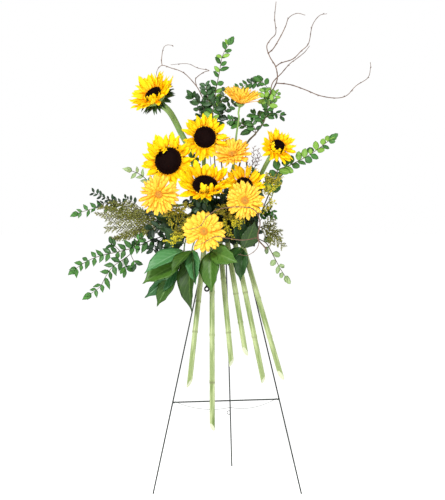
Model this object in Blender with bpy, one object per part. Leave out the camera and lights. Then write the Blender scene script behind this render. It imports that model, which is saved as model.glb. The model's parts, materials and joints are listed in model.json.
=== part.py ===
"""Standing flower arrangement: sunflowers, gerberas and greenery on a three-legged wire easel.

Metres, +Z up, the front of the arrangement faces -Y. The origin is on the floor, under the
middle of the easel. Every flower, spray and cut stem stands in a plain hole in a block of wet
floral foam, which sits in a plastic tray clipped to the two front legs. The rear leg hinges on
the short bar that joins the front legs at the top, and a thin wire stay keeps it from opening
further.
"""

import math
import random

import bmesh
import bpy
from mathutils import Matrix, Vector
from mathutils.bvhtree import BVHTree

# Easel
WIRE_R = 0.0019
APEX = Vector((-0.0056, 0.0, 0.872))
PIN_HALF = 0.011
FOOT_LEFT = Vector((-0.2024, -0.170, 0.0))
FOOT_RIGHT = Vector((0.2088, -0.170, 0.0))
FOOT_REAR = Vector((0.0185, 0.196, 0.0))
BAR_LEFT_Z = 0.2465
BAR_RIGHT_Z = 0.2555
BAR_OVERHANG = 0.005
EYE_R = 0.0044
STAY_R = 0.0008
STAY_Z = 0.186
STAY_STEPS = 5
STAY_RING_Z = 0.171
STAY_RING_R = 0.0055
BELOW_FLOOR = 0.01
BEND_DOWN, BEND_IN, BEND_LIFT = 0.004, 0.002, 0.0004
WELD_BACK = 0.0005
HOOK_FROM_LEG = 0.006
STAY_SAG = 0.012
STAY_BEHIND = 0.0005
STAY_TURN = Vector((0.0035, -0.0012, 0.0003))

# Holder, in a frame that leans with the front legs and is rolled a little to the right
LEAN = math.atan2(0.170, 0.872)
ROLL = math.radians(8.0)
HOLDER_DOWN = 0.125
FIT = 0.0003
PLATE = 0.0022
FOAM = Vector((0.190, 0.078, 0.108))
TRAY_RIM = 0.008
FOAM_BEVEL = 0.004
HOLE_FIT = 0.0005
HANDLE_END = Vector((-0.022, 0.0, -0.197))
EYELET_R = 0.0082
EYELET_HOLE_R = 0.0037
HANDLE_HALF = 0.006
CLIP_WALL = 0.0022
CLIP_WIDTH = 0.012
CLIP_OPENING = math.radians(110.0)
CLIP_STEPS = 8
MOUTH_CLEAR = 0.006

# Leaves and petals
BLADE = 0.0007
CLEAR = 0.0006
HUB = 0.004
DISC_SEAT = 0.002

# A four-sided twig is turned so that its leaves leave from flat sides, not from corners
FLAT_SIDES = math.radians(45.0)

# Outlines of leaves and petals: place along the blade, and share of its greatest width
RAY = ((0.0, 0.40), (0.48, 1.0), (1.0, 0.0))
GERBERA_PETAL = ((0.0, 0.22), (0.66, 1.0), (1.0, 0.5))
BRACT = ((0.0, 0.5), (0.4, 1.0), (1.0, 0.0))
OVAL_LEAF = ((0.0, 0.0), (0.36, 1.0), (0.76, 0.76), (1.0, 0.0))
BROAD_LEAF = ((0.0, 0.0), (0.16, 0.66), (0.42, 1.0), (0.74, 0.68), (1.0, 0.0))

SCENE = bpy.context.scene
LEAN_FRAME = Matrix.Translation(APEX) @ Matrix.Rotation(-LEAN, 4, "X")
HOLDER = LEAN_FRAME @ Matrix.Translation((0.0, 0.0, -HOLDER_DOWN)) @ Matrix.Rotation(ROLL, 4, "Y")
PLATE_BACK = -(WIRE_R + FIT)
FOAM_BACK = PLATE_BACK - PLATE - FIT
FOAM_FRONT = FOAM_BACK - FOAM.y


def clear_scene():
    for thing in list(bpy.data.objects):
        bpy.data.objects.remove(thing, do_unlink=True)


def make_material(name, colour, roughness, metallic=0.0):
    material = bpy.data.materials.new(name)
    material.use_nodes = True
    shader = material.node_tree.nodes["Principled BSDF"]
    shader.inputs["Base Color"].default_value = (*colour, 1.0)
    shader.inputs["Roughness"].default_value = roughness
    shader.inputs["Metallic"].default_value = metallic
    material.diffuse_color = (*colour, 1.0)
    return material


# Building blocks

MERGE = 0.000003
SAME_POINT = 0.00001
UNION_WAYS = (("EXACT", 0.004), ("EXACT", 0.0), ("MANIFOLD", 0.004), ("MANIFOLD", 0.0))


def add_object(name, bm, material, collection=None):
    mesh = bpy.data.meshes.new(name)
    bm.to_mesh(mesh)
    bm.free()
    mesh.materials.append(material)
    thing = bpy.data.objects.new(name, mesh)
    (collection or SCENE.collection).objects.link(thing)
    return thing


def evaluated_mesh(thing):
    bpy.context.view_layer.update()
    depsgraph = bpy.context.evaluated_depsgraph_get()
    return bpy.data.meshes.new_from_object(thing.evaluated_get(depsgraph))


def smooth_path(points, per_span):
    """A Catmull-Rom curve through the points, read at an even share of each span."""
    ends = [points[0] * 2.0 - points[1]] + points + [points[-1] * 2.0 - points[-2]]
    path = []
    for i in range(len(points) - 1):
        a, b, c, d = ends[i:i + 4]
        for step in range(per_span):
            t = step / per_span
            path.append(0.5 * (2.0 * b + (c - a) * t + (2.0 * a - 5.0 * b + 4.0 * c - d) * t ** 2
                               + (3.0 * b - a - 3.0 * c + d) * t ** 3))
    return path + [points[-1].copy()]


def tube(name, path, radius, material, end_radius=None, resolution=1):
    """A round stem or wire with closed ends, a mesh made from a bevelled curve."""
    curve = bpy.data.curves.new(name, "CURVE")
    curve.dimensions = "3D"
    curve.bevel_depth = radius
    curve.bevel_resolution = resolution
    curve.use_fill_caps = True
    spline = curve.splines.new("POLY")
    spline.points.add(len(path) - 1)
    last = (end_radius or radius) / radius
    for i, (point, place) in enumerate(zip(spline.points, path)):
        point.co = (*place, 1.0)
        point.radius = 1.0 + (last - 1.0) * i / (len(path) - 1)
        point.tilt = FLAT_SIDES if resolution == 0 else 0.0
    guide = bpy.data.objects.new(name + "_guide", curve)
    SCENE.collection.objects.link(guide)
    mesh = evaluated_mesh(guide)
    bpy.data.objects.remove(guide, do_unlink=True)
    bpy.data.curves.remove(curve)
    bm = bmesh.new()
    bm.from_mesh(mesh)
    bpy.data.meshes.remove(mesh)
    bmesh.ops.remove_doubles(bm, verts=bm.verts[:], dist=SAME_POINT)
    bmesh.ops.recalc_face_normals(bm, faces=bm.faces[:])
    return add_object(name, bm, material)


def largest_body(bm):
    """Drop loose scraps that a union leaves beside the main body."""
    left = set(bm.faces)
    bodies = []
    while left:
        seed = left.pop()
        body, edge_faces = [seed], [seed]
        while edge_faces:
            face = edge_faces.pop()
            for edge in face.edges:
                for other in edge.link_faces:
                    if other in left:
                        left.discard(other)
                        body.append(other)
                        edge_faces.append(other)
        bodies.append(body)
    bodies.sort(key=len, reverse=True)
    for body in bodies[1:]:
        bmesh.ops.delete(bm, geom=body, context="FACES")
    return len(bodies) - 1


def turn_shared_diagonals(bm):
    """Where the triangles of two faces meet in one diagonal, turn the diagonal of one of them."""
    for _ in range(3):
        bm.normal_update()
        shared = [e for e in bm.edges if len(e.link_faces) > 2]
        for edge in shared:
            if edge.is_valid and len(edge.link_faces) > 2:
                turn_one_diagonal(bm, edge)


def turn_one_diagonal(bm, edge):
    for first_loop in edge.link_loops:
        for second_loop in edge.link_loops:
            first, second = first_loop.face, second_loop.face
            a, b = first_loop.vert, first_loop.link_loop_next.vert
            if first is second or second_loop.vert is not b or first.normal.dot(second.normal) < 0.9998:
                continue
            c = first_loop.link_loop_prev.vert
            d = second_loop.link_loop_prev.vert
            if bm.edges.get((c, d)):
                continue
            normal = first.normal
            one = (d.co - a.co).cross(c.co - a.co).dot(normal)
            other = (b.co - d.co).cross(c.co - d.co).dot(normal)
            if min(one, other) <= 0.0:
                continue
            bmesh.ops.delete(bm, geom=[first, second], context="FACES_ONLY")
            for corners in ((a, d, c), (d, b, c)):
                bm.faces.new(corners).normal_update()
            return


def tidy_union(mesh, flat):
    """Merge, flatten and triangulate the raw result of a Boolean."""
    bm = bmesh.new()
    bm.from_mesh(mesh)
    bmesh.ops.remove_doubles(bm, verts=bm.verts[:], dist=MERGE)
    bmesh.ops.dissolve_degenerate(bm, edges=bm.edges[:], dist=MERGE)
    if flat:
        bmesh.ops.dissolve_limit(bm, angle_limit=flat, verts=bm.verts[:], edges=bm.edges[:])
    bmesh.ops.triangulate(bm, faces=bm.faces[:])
    turn_shared_diagonals(bm)
    largest_body(bm)
    return bm


def drop_nearest(pieces, place):
    """Leave out the piece that lies nearest to the place."""
    nearest = min(pieces, key=lambda piece: min((v.co - place).length for v in piece.data.vertices))
    pieces.remove(nearest)
    bpy.data.objects.remove(nearest, do_unlink=True)


def combine(base, pieces, operation="UNION"):
    """Join the pieces to the base, or cut them from it, as one applied Boolean."""
    group = bpy.data.collections.new(base.name + "_pieces")
    SCENE.collection.children.link(group)
    for piece in pieces:
        for owner in list(piece.users_collection):
            owner.objects.unlink(piece)
        group.objects.link(piece)
    modifier = base.modifiers.new("combine", "BOOLEAN")
    modifier.operation = operation
    modifier.operand_type = "COLLECTION"
    modifier.collection = group
    closed = False
    while not closed:
        for solver, flat in UNION_WAYS:
            modifier.solver = solver
            mesh = evaluated_mesh(base)
            bm = tidy_union(mesh, flat)
            open_edges = [edge for edge in bm.edges if not edge.is_manifold]
            closed = not open_edges
            if closed:
                break
        if not closed:
            drop_nearest(pieces, open_edges[0].verts[0].co)
    base.modifiers.clear()
    material = base.data.materials[0]
    mesh.clear_geometry()
    bm.to_mesh(mesh)
    bm.free()
    mesh.materials.clear()
    mesh.materials.append(material)
    base.data = mesh
    for piece in pieces:
        bpy.data.objects.remove(piece, do_unlink=True)
    bpy.data.collections.remove(group)
    return base


def smooth_shading(thing, degrees=40.0):
    thing.data.shade_smooth()
    thing.data.set_sharp_from_angle(angle=math.radians(degrees))


def turned_frame(root, along, upper):
    """A matrix at the root with +Y along the blade and +Z on its upper side."""
    y_axis = along.normalized()
    x_axis = y_axis.cross(upper).normalized()
    z_axis = x_axis.cross(y_axis)
    turn = Matrix((x_axis, y_axis, z_axis)).transposed().to_4x4()
    return Matrix.Translation(root) @ turn


def blade(length, width, outline, bend, fold=0.0, columns=1):
    """A leaf or petal that grows along +Y, bent upwards as an arc and folded along its rib."""
    rows = len(outline) - 1
    bm = bmesh.new()
    bmesh.ops.create_grid(bm, x_segments=columns, y_segments=rows, size=0.5)
    for vert in bm.verts:
        share, half = outline[round((vert.co.y + 0.5) * rows)]
        half *= 0.5 * width
        across = vert.co.x * 2.0
        angle = bend * share
        reach, rise = length * share, 0.0
        if abs(bend) > 0.001:
            reach = length * math.sin(angle) / bend
            rise = length * (1.0 - math.cos(angle)) / bend
        lift = fold * abs(across) * half
        vert.co = (across * half, reach - lift * math.sin(angle), rise + lift * math.cos(angle))
    bmesh.ops.remove_doubles(bm, verts=bm.verts[:], dist=SAME_POINT)
    if fold:
        bmesh.ops.triangulate(bm, faces=bm.faces[:])
    bmesh.ops.solidify(bm, geom=bm.faces[:], thickness=BLADE)
    bmesh.ops.recalc_face_normals(bm, faces=bm.faces[:])
    return bm


# What has been built so far, so that each new blade can be bent clear of it

class Built:
    def __init__(self):
        self.solids = {}

    def add(self, thing, name=None):
        places = [thing.matrix_world @ v.co for v in thing.data.vertices]
        faces = [tuple(p.vertices) for p in thing.data.polygons]
        low = [min(p[i] for p in places) for i in range(3)]
        high = [max(p[i] for p in places) for i in range(3)]
        self.solids[name or thing.name] = (BVHTree.FromPolygons(places, faces), low, high)

    def is_clear(self, bm, own):
        bm.normal_update()
        places = [v.co + v.normal * CLEAR for v in bm.verts]
        index = {v: i for i, v in enumerate(bm.verts)}
        faces = [tuple(index[v] for v in f.verts) for f in bm.faces]
        tree = BVHTree.FromPolygons(places, faces)
        low = [min(p[i] for p in places) for i in range(3)]
        high = [max(p[i] for p in places) for i in range(3)]
        for name, (other, other_low, other_high) in self.solids.items():
            if name in own:
                continue
            if any(low[i] > other_high[i] or high[i] < other_low[i] for i in range(3)):
                continue
            if tree.overlap(other):
                return False
        return True


BUILT = Built()


def clear_blade(name, own, material, shape, ways):
    """The first of several ways to hold a blade that crosses nothing, or none."""
    for stretch, frame in ways:
        length, width, outline, bend, fold, columns = shape
        bm = blade(length * stretch, width, outline, bend, fold, columns)
        bm.transform(frame)
        if BUILT.is_clear(bm, own):
            return add_object(name, bm, material)
        bm.free()
    return None


# Easel

def point_at_height(foot, z):
    return foot.lerp(APEX, z / APEX.z)


def make_front_frame(material):
    """Two front legs and the bar that joins them at the top: one bent wire, with a welded crossbar."""
    corner_left = APEX - Vector((PIN_HALF, 0.0, 0.0))
    corner_right = APEX + Vector((PIN_HALF, 0.0, 0.0))
    path = []
    for corner, foot in ((corner_left, FOOT_LEFT), (corner_right, FOOT_RIGHT)):
        down = (foot - corner).normalized()
        inward = (APEX - corner).normalized()
        bend = corner + inward * BEND_IN - down * BEND_LIFT
        side = [foot + down * BELOW_FLOOR, corner + down * BEND_DOWN, bend]
        path.append(side)
    wire = tube("front_frame", path[0] + path[1][::-1], WIRE_R, material, resolution=2)
    ends = []
    for foot, z, sign in ((FOOT_LEFT, BAR_LEFT_Z, -1.0), (FOOT_RIGHT, BAR_RIGHT_Z, 1.0)):
        ends.append(point_at_height(foot, z) + Vector((sign * BAR_OVERHANG, -WELD_BACK, 0.0)))
    bar = tube("crossbar", ends, WIRE_R, material, resolution=2)
    combine(wire, [bar])
    cut_at_floor(wire)
    smooth_shading(wire)
    return wire


def cut_at_floor(thing):
    bm = bmesh.new()
    bm.from_mesh(thing.data)
    bmesh.ops.bisect_plane(bm, geom=bm.verts[:] + bm.edges[:] + bm.faces[:], plane_co=(0, 0, 0),
                           plane_no=(0, 0, 1), clear_inner=True)
    rim = [e for e in bm.edges if len(e.link_faces) == 1]
    bmesh.ops.holes_fill(bm, edges=rim)
    bmesh.ops.recalc_face_normals(bm, faces=bm.faces[:])
    bm.to_mesh(thing.data)
    bm.free()


def make_rear_leg(material):
    """The rear leg, with an eye that turns on the top bar and a small ring that holds the stay."""
    down = (FOOT_REAR - APEX).normalized()
    run = [APEX + down * EYE_R, FOOT_REAR + down * BELOW_FLOOR]
    leg = tube("rear_leg", run, WIRE_R, material, resolution=2)
    ring_places = ((APEX, EYE_R, WIRE_R, "Y"), (None, STAY_RING_R, STAY_R, "X"))
    rings = []
    for centre, major, minor, axis in ring_places:
        if centre is None:
            centre = point_at_height(FOOT_REAR, STAY_RING_Z) + Vector((-STAY_RING_R * 0.8, 0.0, 0.0))
        bpy.ops.mesh.primitive_torus_add(major_radius=major, minor_radius=minor,
                                         major_segments=9, minor_segments=5)
        ring = bpy.context.object
        ring.data.transform(Matrix.Translation(centre) @ Matrix.Rotation(math.pi / 2.0, 4, axis))
        rings.append(ring)
    combine(leg, rings)
    cut_at_floor(leg)
    smooth_shading(leg)
    return leg


def stay_route():
    """From one end of the crossbar, round the back of the rear leg, to the other end, sagging."""
    leg = point_at_height(FOOT_REAR, STAY_Z)
    behind = leg + Vector((0.0, WIRE_R + STAY_R + STAY_BEHIND, 0.0))
    hook_back = WIRE_R + STAY_R + FIT - WELD_BACK
    route = []
    for foot, z, sign in ((FOOT_LEFT, BAR_LEFT_Z, -1.0), (FOOT_RIGHT, BAR_RIGHT_Z, 1.0)):
        end = point_at_height(foot, z) + Vector((-sign * HOOK_FROM_LEG, hook_back, 0.0))
        beside = behind + Vector((sign * STAY_TURN.x, STAY_TURN.y, STAY_TURN.z))
        side = []
        for step in range(STAY_STEPS):
            t = step / STAY_STEPS
            place = end.lerp(beside, t)
            place.z -= STAY_SAG * 4.0 * t * (1.0 - t)
            side.append(place)
        route.append(side + [beside])
    return route[0] + [behind] + route[1][::-1]


# Holder

def rounded_box(name, low, high, material, bevel):
    bm = bmesh.new()
    bmesh.ops.create_cube(bm, size=1.0)
    size = [high[i] - low[i] for i in range(3)]
    middle = [(high[i] + low[i]) / 2.0 for i in range(3)]
    bmesh.ops.scale(bm, vec=size, verts=bm.verts[:])
    bmesh.ops.translate(bm, vec=middle, verts=bm.verts[:])
    if bevel:
        bmesh.ops.bevel(bm, geom=bm.edges[:], offset=bevel, segments=1, affect="EDGES")
    return add_object(name, bm, material)


def make_tray(material):
    """A shallow tray behind the foam, with a hanging handle and clips that grip the two legs."""
    half_x, half_z = FOAM.x / 2.0 + FIT + PLATE, FOAM.z / 2.0 + FIT + PLATE
    tray = rounded_box("holder_tray", (-half_x, FOAM_BACK - TRAY_RIM, -half_z),
                       (half_x, PLATE_BACK, half_z), material, 0.0)
    inside = rounded_box("tray_inside", (-half_x + PLATE, FOAM_BACK - TRAY_RIM * 2.0, -half_z + PLATE),
                         (half_x - PLATE, FOAM_BACK + FIT, half_z - PLATE), material, 0.0)
    combine(tray, [inside], "DIFFERENCE")
    top = Vector((0.0, PLATE_BACK - PLATE / 2.0, -half_z + HANDLE_HALF))
    low = HANDLE_END + Vector((0.0, PLATE_BACK - PLATE / 2.0, 0.0))
    run = low - top
    handle = rounded_box("handle", (-HANDLE_HALF, 0.0, -PLATE / 2.0),
                         (HANDLE_HALF, run.length - EYELET_R * 0.7, PLATE / 2.0), material, 0.0)
    handle.data.transform(turned_frame(top, run, Vector((0.0, -1.0, 0.0))))
    pieces = [handle]
    bm = bmesh.new()
    bmesh.ops.create_cone(bm, cap_ends=True, segments=16, radius1=EYELET_R, radius2=EYELET_R,
                          depth=PLATE * 1.6)
    bmesh.ops.rotate(bm, matrix=Matrix.Rotation(math.pi / 2.0, 3, "X"), verts=bm.verts[:])
    bmesh.ops.translate(bm, vec=low, verts=bm.verts[:])
    pieces.append(add_object("eyelet", bm, material))
    combine(tray, pieces)
    bm = bmesh.new()
    bmesh.ops.create_cone(bm, cap_ends=True, segments=12, radius1=EYELET_HOLE_R,
                          radius2=EYELET_HOLE_R, depth=PLATE * 4.0)
    bmesh.ops.rotate(bm, matrix=Matrix.Rotation(math.pi / 2.0, 3, "X"), verts=bm.verts[:])
    bmesh.ops.translate(bm, vec=low, verts=bm.verts[:])
    combine(tray, [add_object("eyelet_hole", bm, material)], "DIFFERENCE")
    tray.data.transform(HOLDER)
    combine(tray, make_clips(material))
    return tray


def make_clips(material):
    """A C-shaped clip round each front leg, rooted in the back of the tray."""
    inner, outer = WIRE_R + FIT, WIRE_R + CLIP_WALL
    half_arc = math.pi - CLIP_OPENING / 2.0
    flat = inner / math.cos(half_arc / CLIP_STEPS)
    clips = []
    for foot, sign in ((FOOT_LEFT, -1.0), (FOOT_RIGHT, 1.0)):
        corner = APEX + Vector((sign * PIN_HALF, 0.0, 0.0))
        down = (foot - corner).normalized()
        centre = corner + down * HOLDER_DOWN
        front = (HOLDER.to_3x3() @ Vector((0.0, -1.0, 0.0))).normalized()
        side = down.cross(front).normalized()
        front = side.cross(down).normalized()
        curve = bpy.data.curves.new("clip", "CURVE")
        curve.dimensions = "2D"
        curve.fill_mode = "BOTH"
        curve.extrude = CLIP_WIDTH / 2.0
        spline = curve.splines.new("POLY")
        spread = [half_arc * (2.0 * i / CLIP_STEPS - 1.0) for i in range(CLIP_STEPS + 1)]
        ring = [(outer * math.sin(a), outer * math.cos(a)) for a in spread]
        ring += [(flat * math.sin(a), flat * math.cos(a)) for a in spread[::-1]]
        spline.points.add(len(ring) - 1)
        for point, (x, y) in zip(spline.points, ring):
            point.co = (x, y, 0.0, 1.0)
        spline.use_cyclic_u = True
        guide = bpy.data.objects.new("clip_guide", curve)
        SCENE.collection.objects.link(guide)
        mesh = evaluated_mesh(guide)
        bpy.data.objects.remove(guide, do_unlink=True)
        bm = bmesh.new()
        bm.from_mesh(mesh)
        bmesh.ops.remove_doubles(bm, verts=bm.verts[:], dist=SAME_POINT)
        turn = Matrix((side, front, side.cross(front))).transposed().to_4x4()
        bm.transform(Matrix.Translation(centre) @ turn)
        bmesh.ops.recalc_face_normals(bm, faces=bm.faces[:])
        clips.append(add_object("clip", bm, material))
    return clips


# Where each stem enters the foam: face, then two places on that face in the holder's frame
# (top and bottom: x, y; front: x, z; left and right end: y, z), and the depth of its hole

FACES = {
    "top": (lambda a, b: Vector((a, b, FOAM.z / 2.0)), Vector((0.0, 0.0, 1.0))),
    "bottom": (lambda a, b: Vector((a, b, -FOAM.z / 2.0)), Vector((0.0, 0.0, -1.0))),
    "front": (lambda a, b: Vector((a, FOAM_FRONT, b)), Vector((0.0, -1.0, 0.0))),
    "left": (lambda a, b: Vector((-FOAM.x / 2.0, a, b)), Vector((-1.0, 0.0, 0.0))),
    "right": (lambda a, b: Vector((FOAM.x / 2.0, a, b)), Vector((1.0, 0.0, 0.0))),
}


def hole_points(hole):
    """The bottom of a stem's hole and a point just outside its mouth."""
    face, a, b, depth = hole
    place, normal = FACES[face]
    mouth = place(a, b)
    return HOLDER @ (mouth - normal * depth), HOLDER @ (mouth + normal * MOUTH_CLEAR)


CUTTERS = []


def rooted_stem(name, hole, route, radius, material, end_radius=None, resolution=1, per_span=2):
    """A stem from the bottom of its hole in the foam through the points of its route."""
    bottom, mouth = hole_points(hole)
    path = [bottom] + smooth_path([mouth] + [Vector(p) for p in route], per_span)
    stem = tube(name, path, radius, material, end_radius, resolution)
    into = (bottom - mouth).normalized()
    cut = tube(name + "_hole", [bottom + into * HOLE_FIT, mouth], radius + HOLE_FIT, material,
               None, resolution)
    cut.hide_render = True
    cut.display_type = "WIRE"
    CUTTERS.append(cut)
    BUILT.add(stem)
    return stem


# Sunflowers and gerberas

SUNFLOWERS = {
    "sunflower_high": dict(
        centre=(-0.206, -0.030, 1.116), facing=(-0.48, -0.68, 0.56), reach=0.082, disc=0.029, cup=25.0,
        gather=(305.0, 8.0), ruff=1.35, stem=0.0072, neck=0.0105, hole=("top", -0.071, -0.024, 0.028),
        route=((-0.104, -0.012, 0.955), (-0.128, 0.002, 1.005), (-0.160, 0.006, 1.067))),
    "sunflower_top": dict(
        centre=(-0.060, -0.085, 0.993), facing=(0.0, -0.98, 0.15), reach=0.071, disc=0.0335, cup=12.0,
        stem=0.006, hole=("top", -0.043, -0.052, 0.026),
        route=((-0.062, -0.040, 0.900), (-0.062, -0.030, 0.965))),
    "sunflower_left": dict(
        centre=(-0.161, -0.115, 0.925), facing=(-0.25, -0.95, 0.15), reach=0.082, disc=0.0415, cup=12.0,
        stem=0.006, hole=("top", -0.073, -0.060, 0.026),
        route=((-0.100, -0.062, 0.860), (-0.140, -0.058, 0.905))),
    "sunflower_middle": dict(
        centre=(-0.059, -0.184, 0.853), facing=(0.0, -0.72, 0.69), reach=0.085, disc=0.0365, cup=26.0,
        stem=0.006, hole=("front", -0.046, 0.014, 0.020),
        route=((-0.058, -0.142, 0.800),)),
    "sunflower_right": dict(
        centre=(0.147, -0.060, 0.966), facing=(0.20, -0.92, 0.30), reach=0.057, disc=0.023, cup=16.0,
        stem=0.0065, hole=("top", 0.070, -0.026, 0.028),
        route=((0.093, -0.028, 0.870), (0.122, -0.020, 0.930))),
    "sunflower_behind": dict(
        centre=(0.050, -0.125, 0.855), facing=(0.15, -0.85, 0.50), reach=0.066, disc=0.0255, cup=16.0,
        stem=0.006, hole=("top", 0.033, -0.058, 0.026),
        route=()),
}

GERBERAS = {
    "gerbera_high": dict(
        centre=(0.041, -0.050, 1.094), facing=(0.17, -0.34, 0.92), reach=0.064, cup=34.0,
        hole=("top", 0.013, -0.030, 0.026),
        route=((0.022, -0.045, 0.900), (0.029, -0.045, 0.994), (0.037, -0.040, 1.050))),
    "gerbera_upper": dict(
        centre=(0.017, -0.107, 0.943), facing=(-0.10, -0.68, 0.73), reach=0.059, cup=14.0,
        hole=("top", 0.002, -0.062, 0.024),
        route=((0.010, -0.070, 0.870), (0.020, -0.076, 0.915))),
    "gerbera_left": dict(
        centre=(-0.186, -0.200, 0.831), facing=(0.14, -0.97, -0.18), reach=0.059, cup=12.0,
        hole=("left", -0.062, 0.032, 0.014),
        route=((-0.150, -0.115, 0.800), (-0.172, -0.150, 0.815))),
    "gerbera_bottom": dict(
        centre=(-0.061, -0.200, 0.728), facing=(0.0, -0.98, 0.20), reach=0.059, cup=8.0,
        hole=("front", -0.046, -0.024, 0.018),
        route=((-0.060, -0.150, 0.731),)),
    "gerbera_right": dict(
        centre=(0.051, -0.200, 0.813), facing=(0.10, -0.98, 0.12), reach=0.056, cup=8.0,
        hole=("front", 0.042, 0.016, 0.018),
        route=((0.045, -0.150, 0.800),)),
}


STEM_UNDER_NECK = 0.022
SUNFLOWER_NECK = 0.012
RECEPTACLE = 0.019
BRACTS = 5
BRACT_LEVEL = 0.0062
STALK_R = 0.0027
GERBERA_NECK = 0.008
CALYX_TOP_R, CALYX_LOW_R, CALYX = 0.0125, 0.0032, 0.013
GERBERA_HUB_R = 0.0130
BACK_LAYER, FRONT_LAYER = 0.0012, 0.0029
GERBERA_WIDTHS = (0.0215, 0.0195)
EYE_R_GERBERA = 0.0106
EYE_HEIGHT, EYE_DEPTH, EYE_DIP, EYE_BEADS = 0.0038, 0.0020, 0.0018, 0.0007


def bloom_frame(centre, facing):
    turn = Vector(facing).normalized().to_track_quat("Z", "Y").to_matrix().to_4x4()
    return Matrix.Translation(centre) @ turn


def cone(name, radius_low, radius_high, z_low, z_high, segments, material):
    bm = bmesh.new()
    bmesh.ops.create_cone(bm, cap_ends=True, segments=segments, radius1=radius_low,
                          radius2=radius_high, depth=z_high - z_low)
    bmesh.ops.translate(bm, vec=(0.0, 0.0, (z_low + z_high) / 2.0), verts=bm.verts[:])
    return add_object(name, bm, material)


def bloom_stem(name, spec, place, neck_depth, material):
    """The stem up to the back of a flower head."""
    neck = place @ Vector((0.0, 0.0, -neck_depth))
    below = place @ Vector((0.0, 0.0, -neck_depth - STEM_UNDER_NECK))
    route = [Vector(p) for p in spec["route"]] + [below, neck]
    return rooted_stem(name, spec["hole"], route, spec.get("stem", STALK_R), material, spec.get("neck"),
                       per_span=1)


def make_sunflower_back(name, spec, material):
    """Stem, receptacle and the ring of pointed green bracts behind the petals."""
    place = bloom_frame(spec["centre"], spec["facing"])
    disc, ruff = spec["disc"], spec.get("ruff", 1.0)
    stem = bloom_stem(name + "_stem", spec, place, SUNFLOWER_NECK * ruff, material)
    low_r = spec.get("neck", spec["stem"]) * 1.1
    cup = cone("receptacle", low_r, disc * 0.86 * ruff, -RECEPTACLE * ruff, -FIT, 8, material)
    cup.data.transform(place)
    pieces = [cup]
    rng = random.Random(name)
    for i in range(BRACTS):
        angle = math.tau * (i + 0.3 * rng.random()) / BRACTS
        out = Vector((math.cos(angle), math.sin(angle), -0.22 - 0.14 * rng.random()))
        root = Vector((math.cos(angle), math.sin(angle), 0.0)) * disc * 0.5 * ruff
        root.z = -BRACT_LEVEL
        bm = blade(disc * 0.98 * ruff, disc * 0.50, BRACT, -0.25)
        bm.transform(place @ turned_frame(root, out, Vector((0, 0, 1))))
        pieces.append(add_object("bract", bm, material))
    combine(stem, pieces)
    BUILT.add(stem)
    return stem


def ring_of_blades(name, own, place, count, root_r, root_z, length, width, outline, lift, bend,
                   seed, material, gather=(0.0, 0.0)):
    """One layer of petals, each bent clear of what is already there. On one side they may stand up more."""
    rng = random.Random(seed)
    pieces = []
    for i in range(count):
        angle = math.tau * (i + rng.uniform(-0.16, 0.16)) / count
        size, tilt, roll = rng.uniform(0.90, 1.06), rng.uniform(-5.0, 5.0), rng.uniform(-0.14, 0.14)
        curl = bend * rng.uniform(0.5, 1.4)
        spoke = Vector((math.cos(angle), math.sin(angle), 0.0))
        across = Vector((-math.sin(angle), math.cos(angle), 0.0))
        root = spoke * root_r + Vector((0.0, 0.0, root_z))
        ways = []
        for stretch in (1.0, 0.86, 0.72, 0.58):
            for extra in (0.0, 9.0, -8.0, 18.0, 30.0):
                rise = gather[1] * max(0.0, math.cos(angle - math.radians(gather[0])))
                slope = math.radians(lift + tilt + extra + rise)
                along = spoke * math.cos(slope) + Vector((0.0, 0.0, math.sin(slope)))
                upper = Vector((0.0, 0.0, 1.0)) + across * roll
                ways.append((stretch, place @ turned_frame(root, along, upper)))
        shape = (length * size, width, outline, curl, 0.0, 1)
        petal = clear_blade(name, own, material, shape, ways)
        if petal:
            pieces.append(petal)
    return pieces


def make_sunflower_petals(name, spec, material):
    place = bloom_frame(spec["centre"], spec["facing"])
    disc, reach, cup, gather = spec["disc"], spec["reach"], spec["cup"], spec.get("gather", (0.0, 0.0))
    hub = cone(name + "_petals", disc * 1.03, disc * 1.03, 0.0, HUB, 12, material)
    hub.data.transform(place)
    own = (hub.name,)
    root_r = disc * 0.95
    length = reach * 1.04 - root_r
    width = reach * 0.37
    petals = ring_of_blades("ray", own, place, 9, root_r, BACK_LAYER, length, width, RAY,
                            cup - 3.0, math.radians(6.0), name + "_back", material, gather)
    petals += ring_of_blades("ray", own, place, 7, root_r, FRONT_LAYER, length * 0.93, width, RAY,
                             cup + 13.0, math.radians(12.0), name + "_front", material, gather)
    combine(hub, petals)
    BUILT.add(hub)
    return hub


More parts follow.
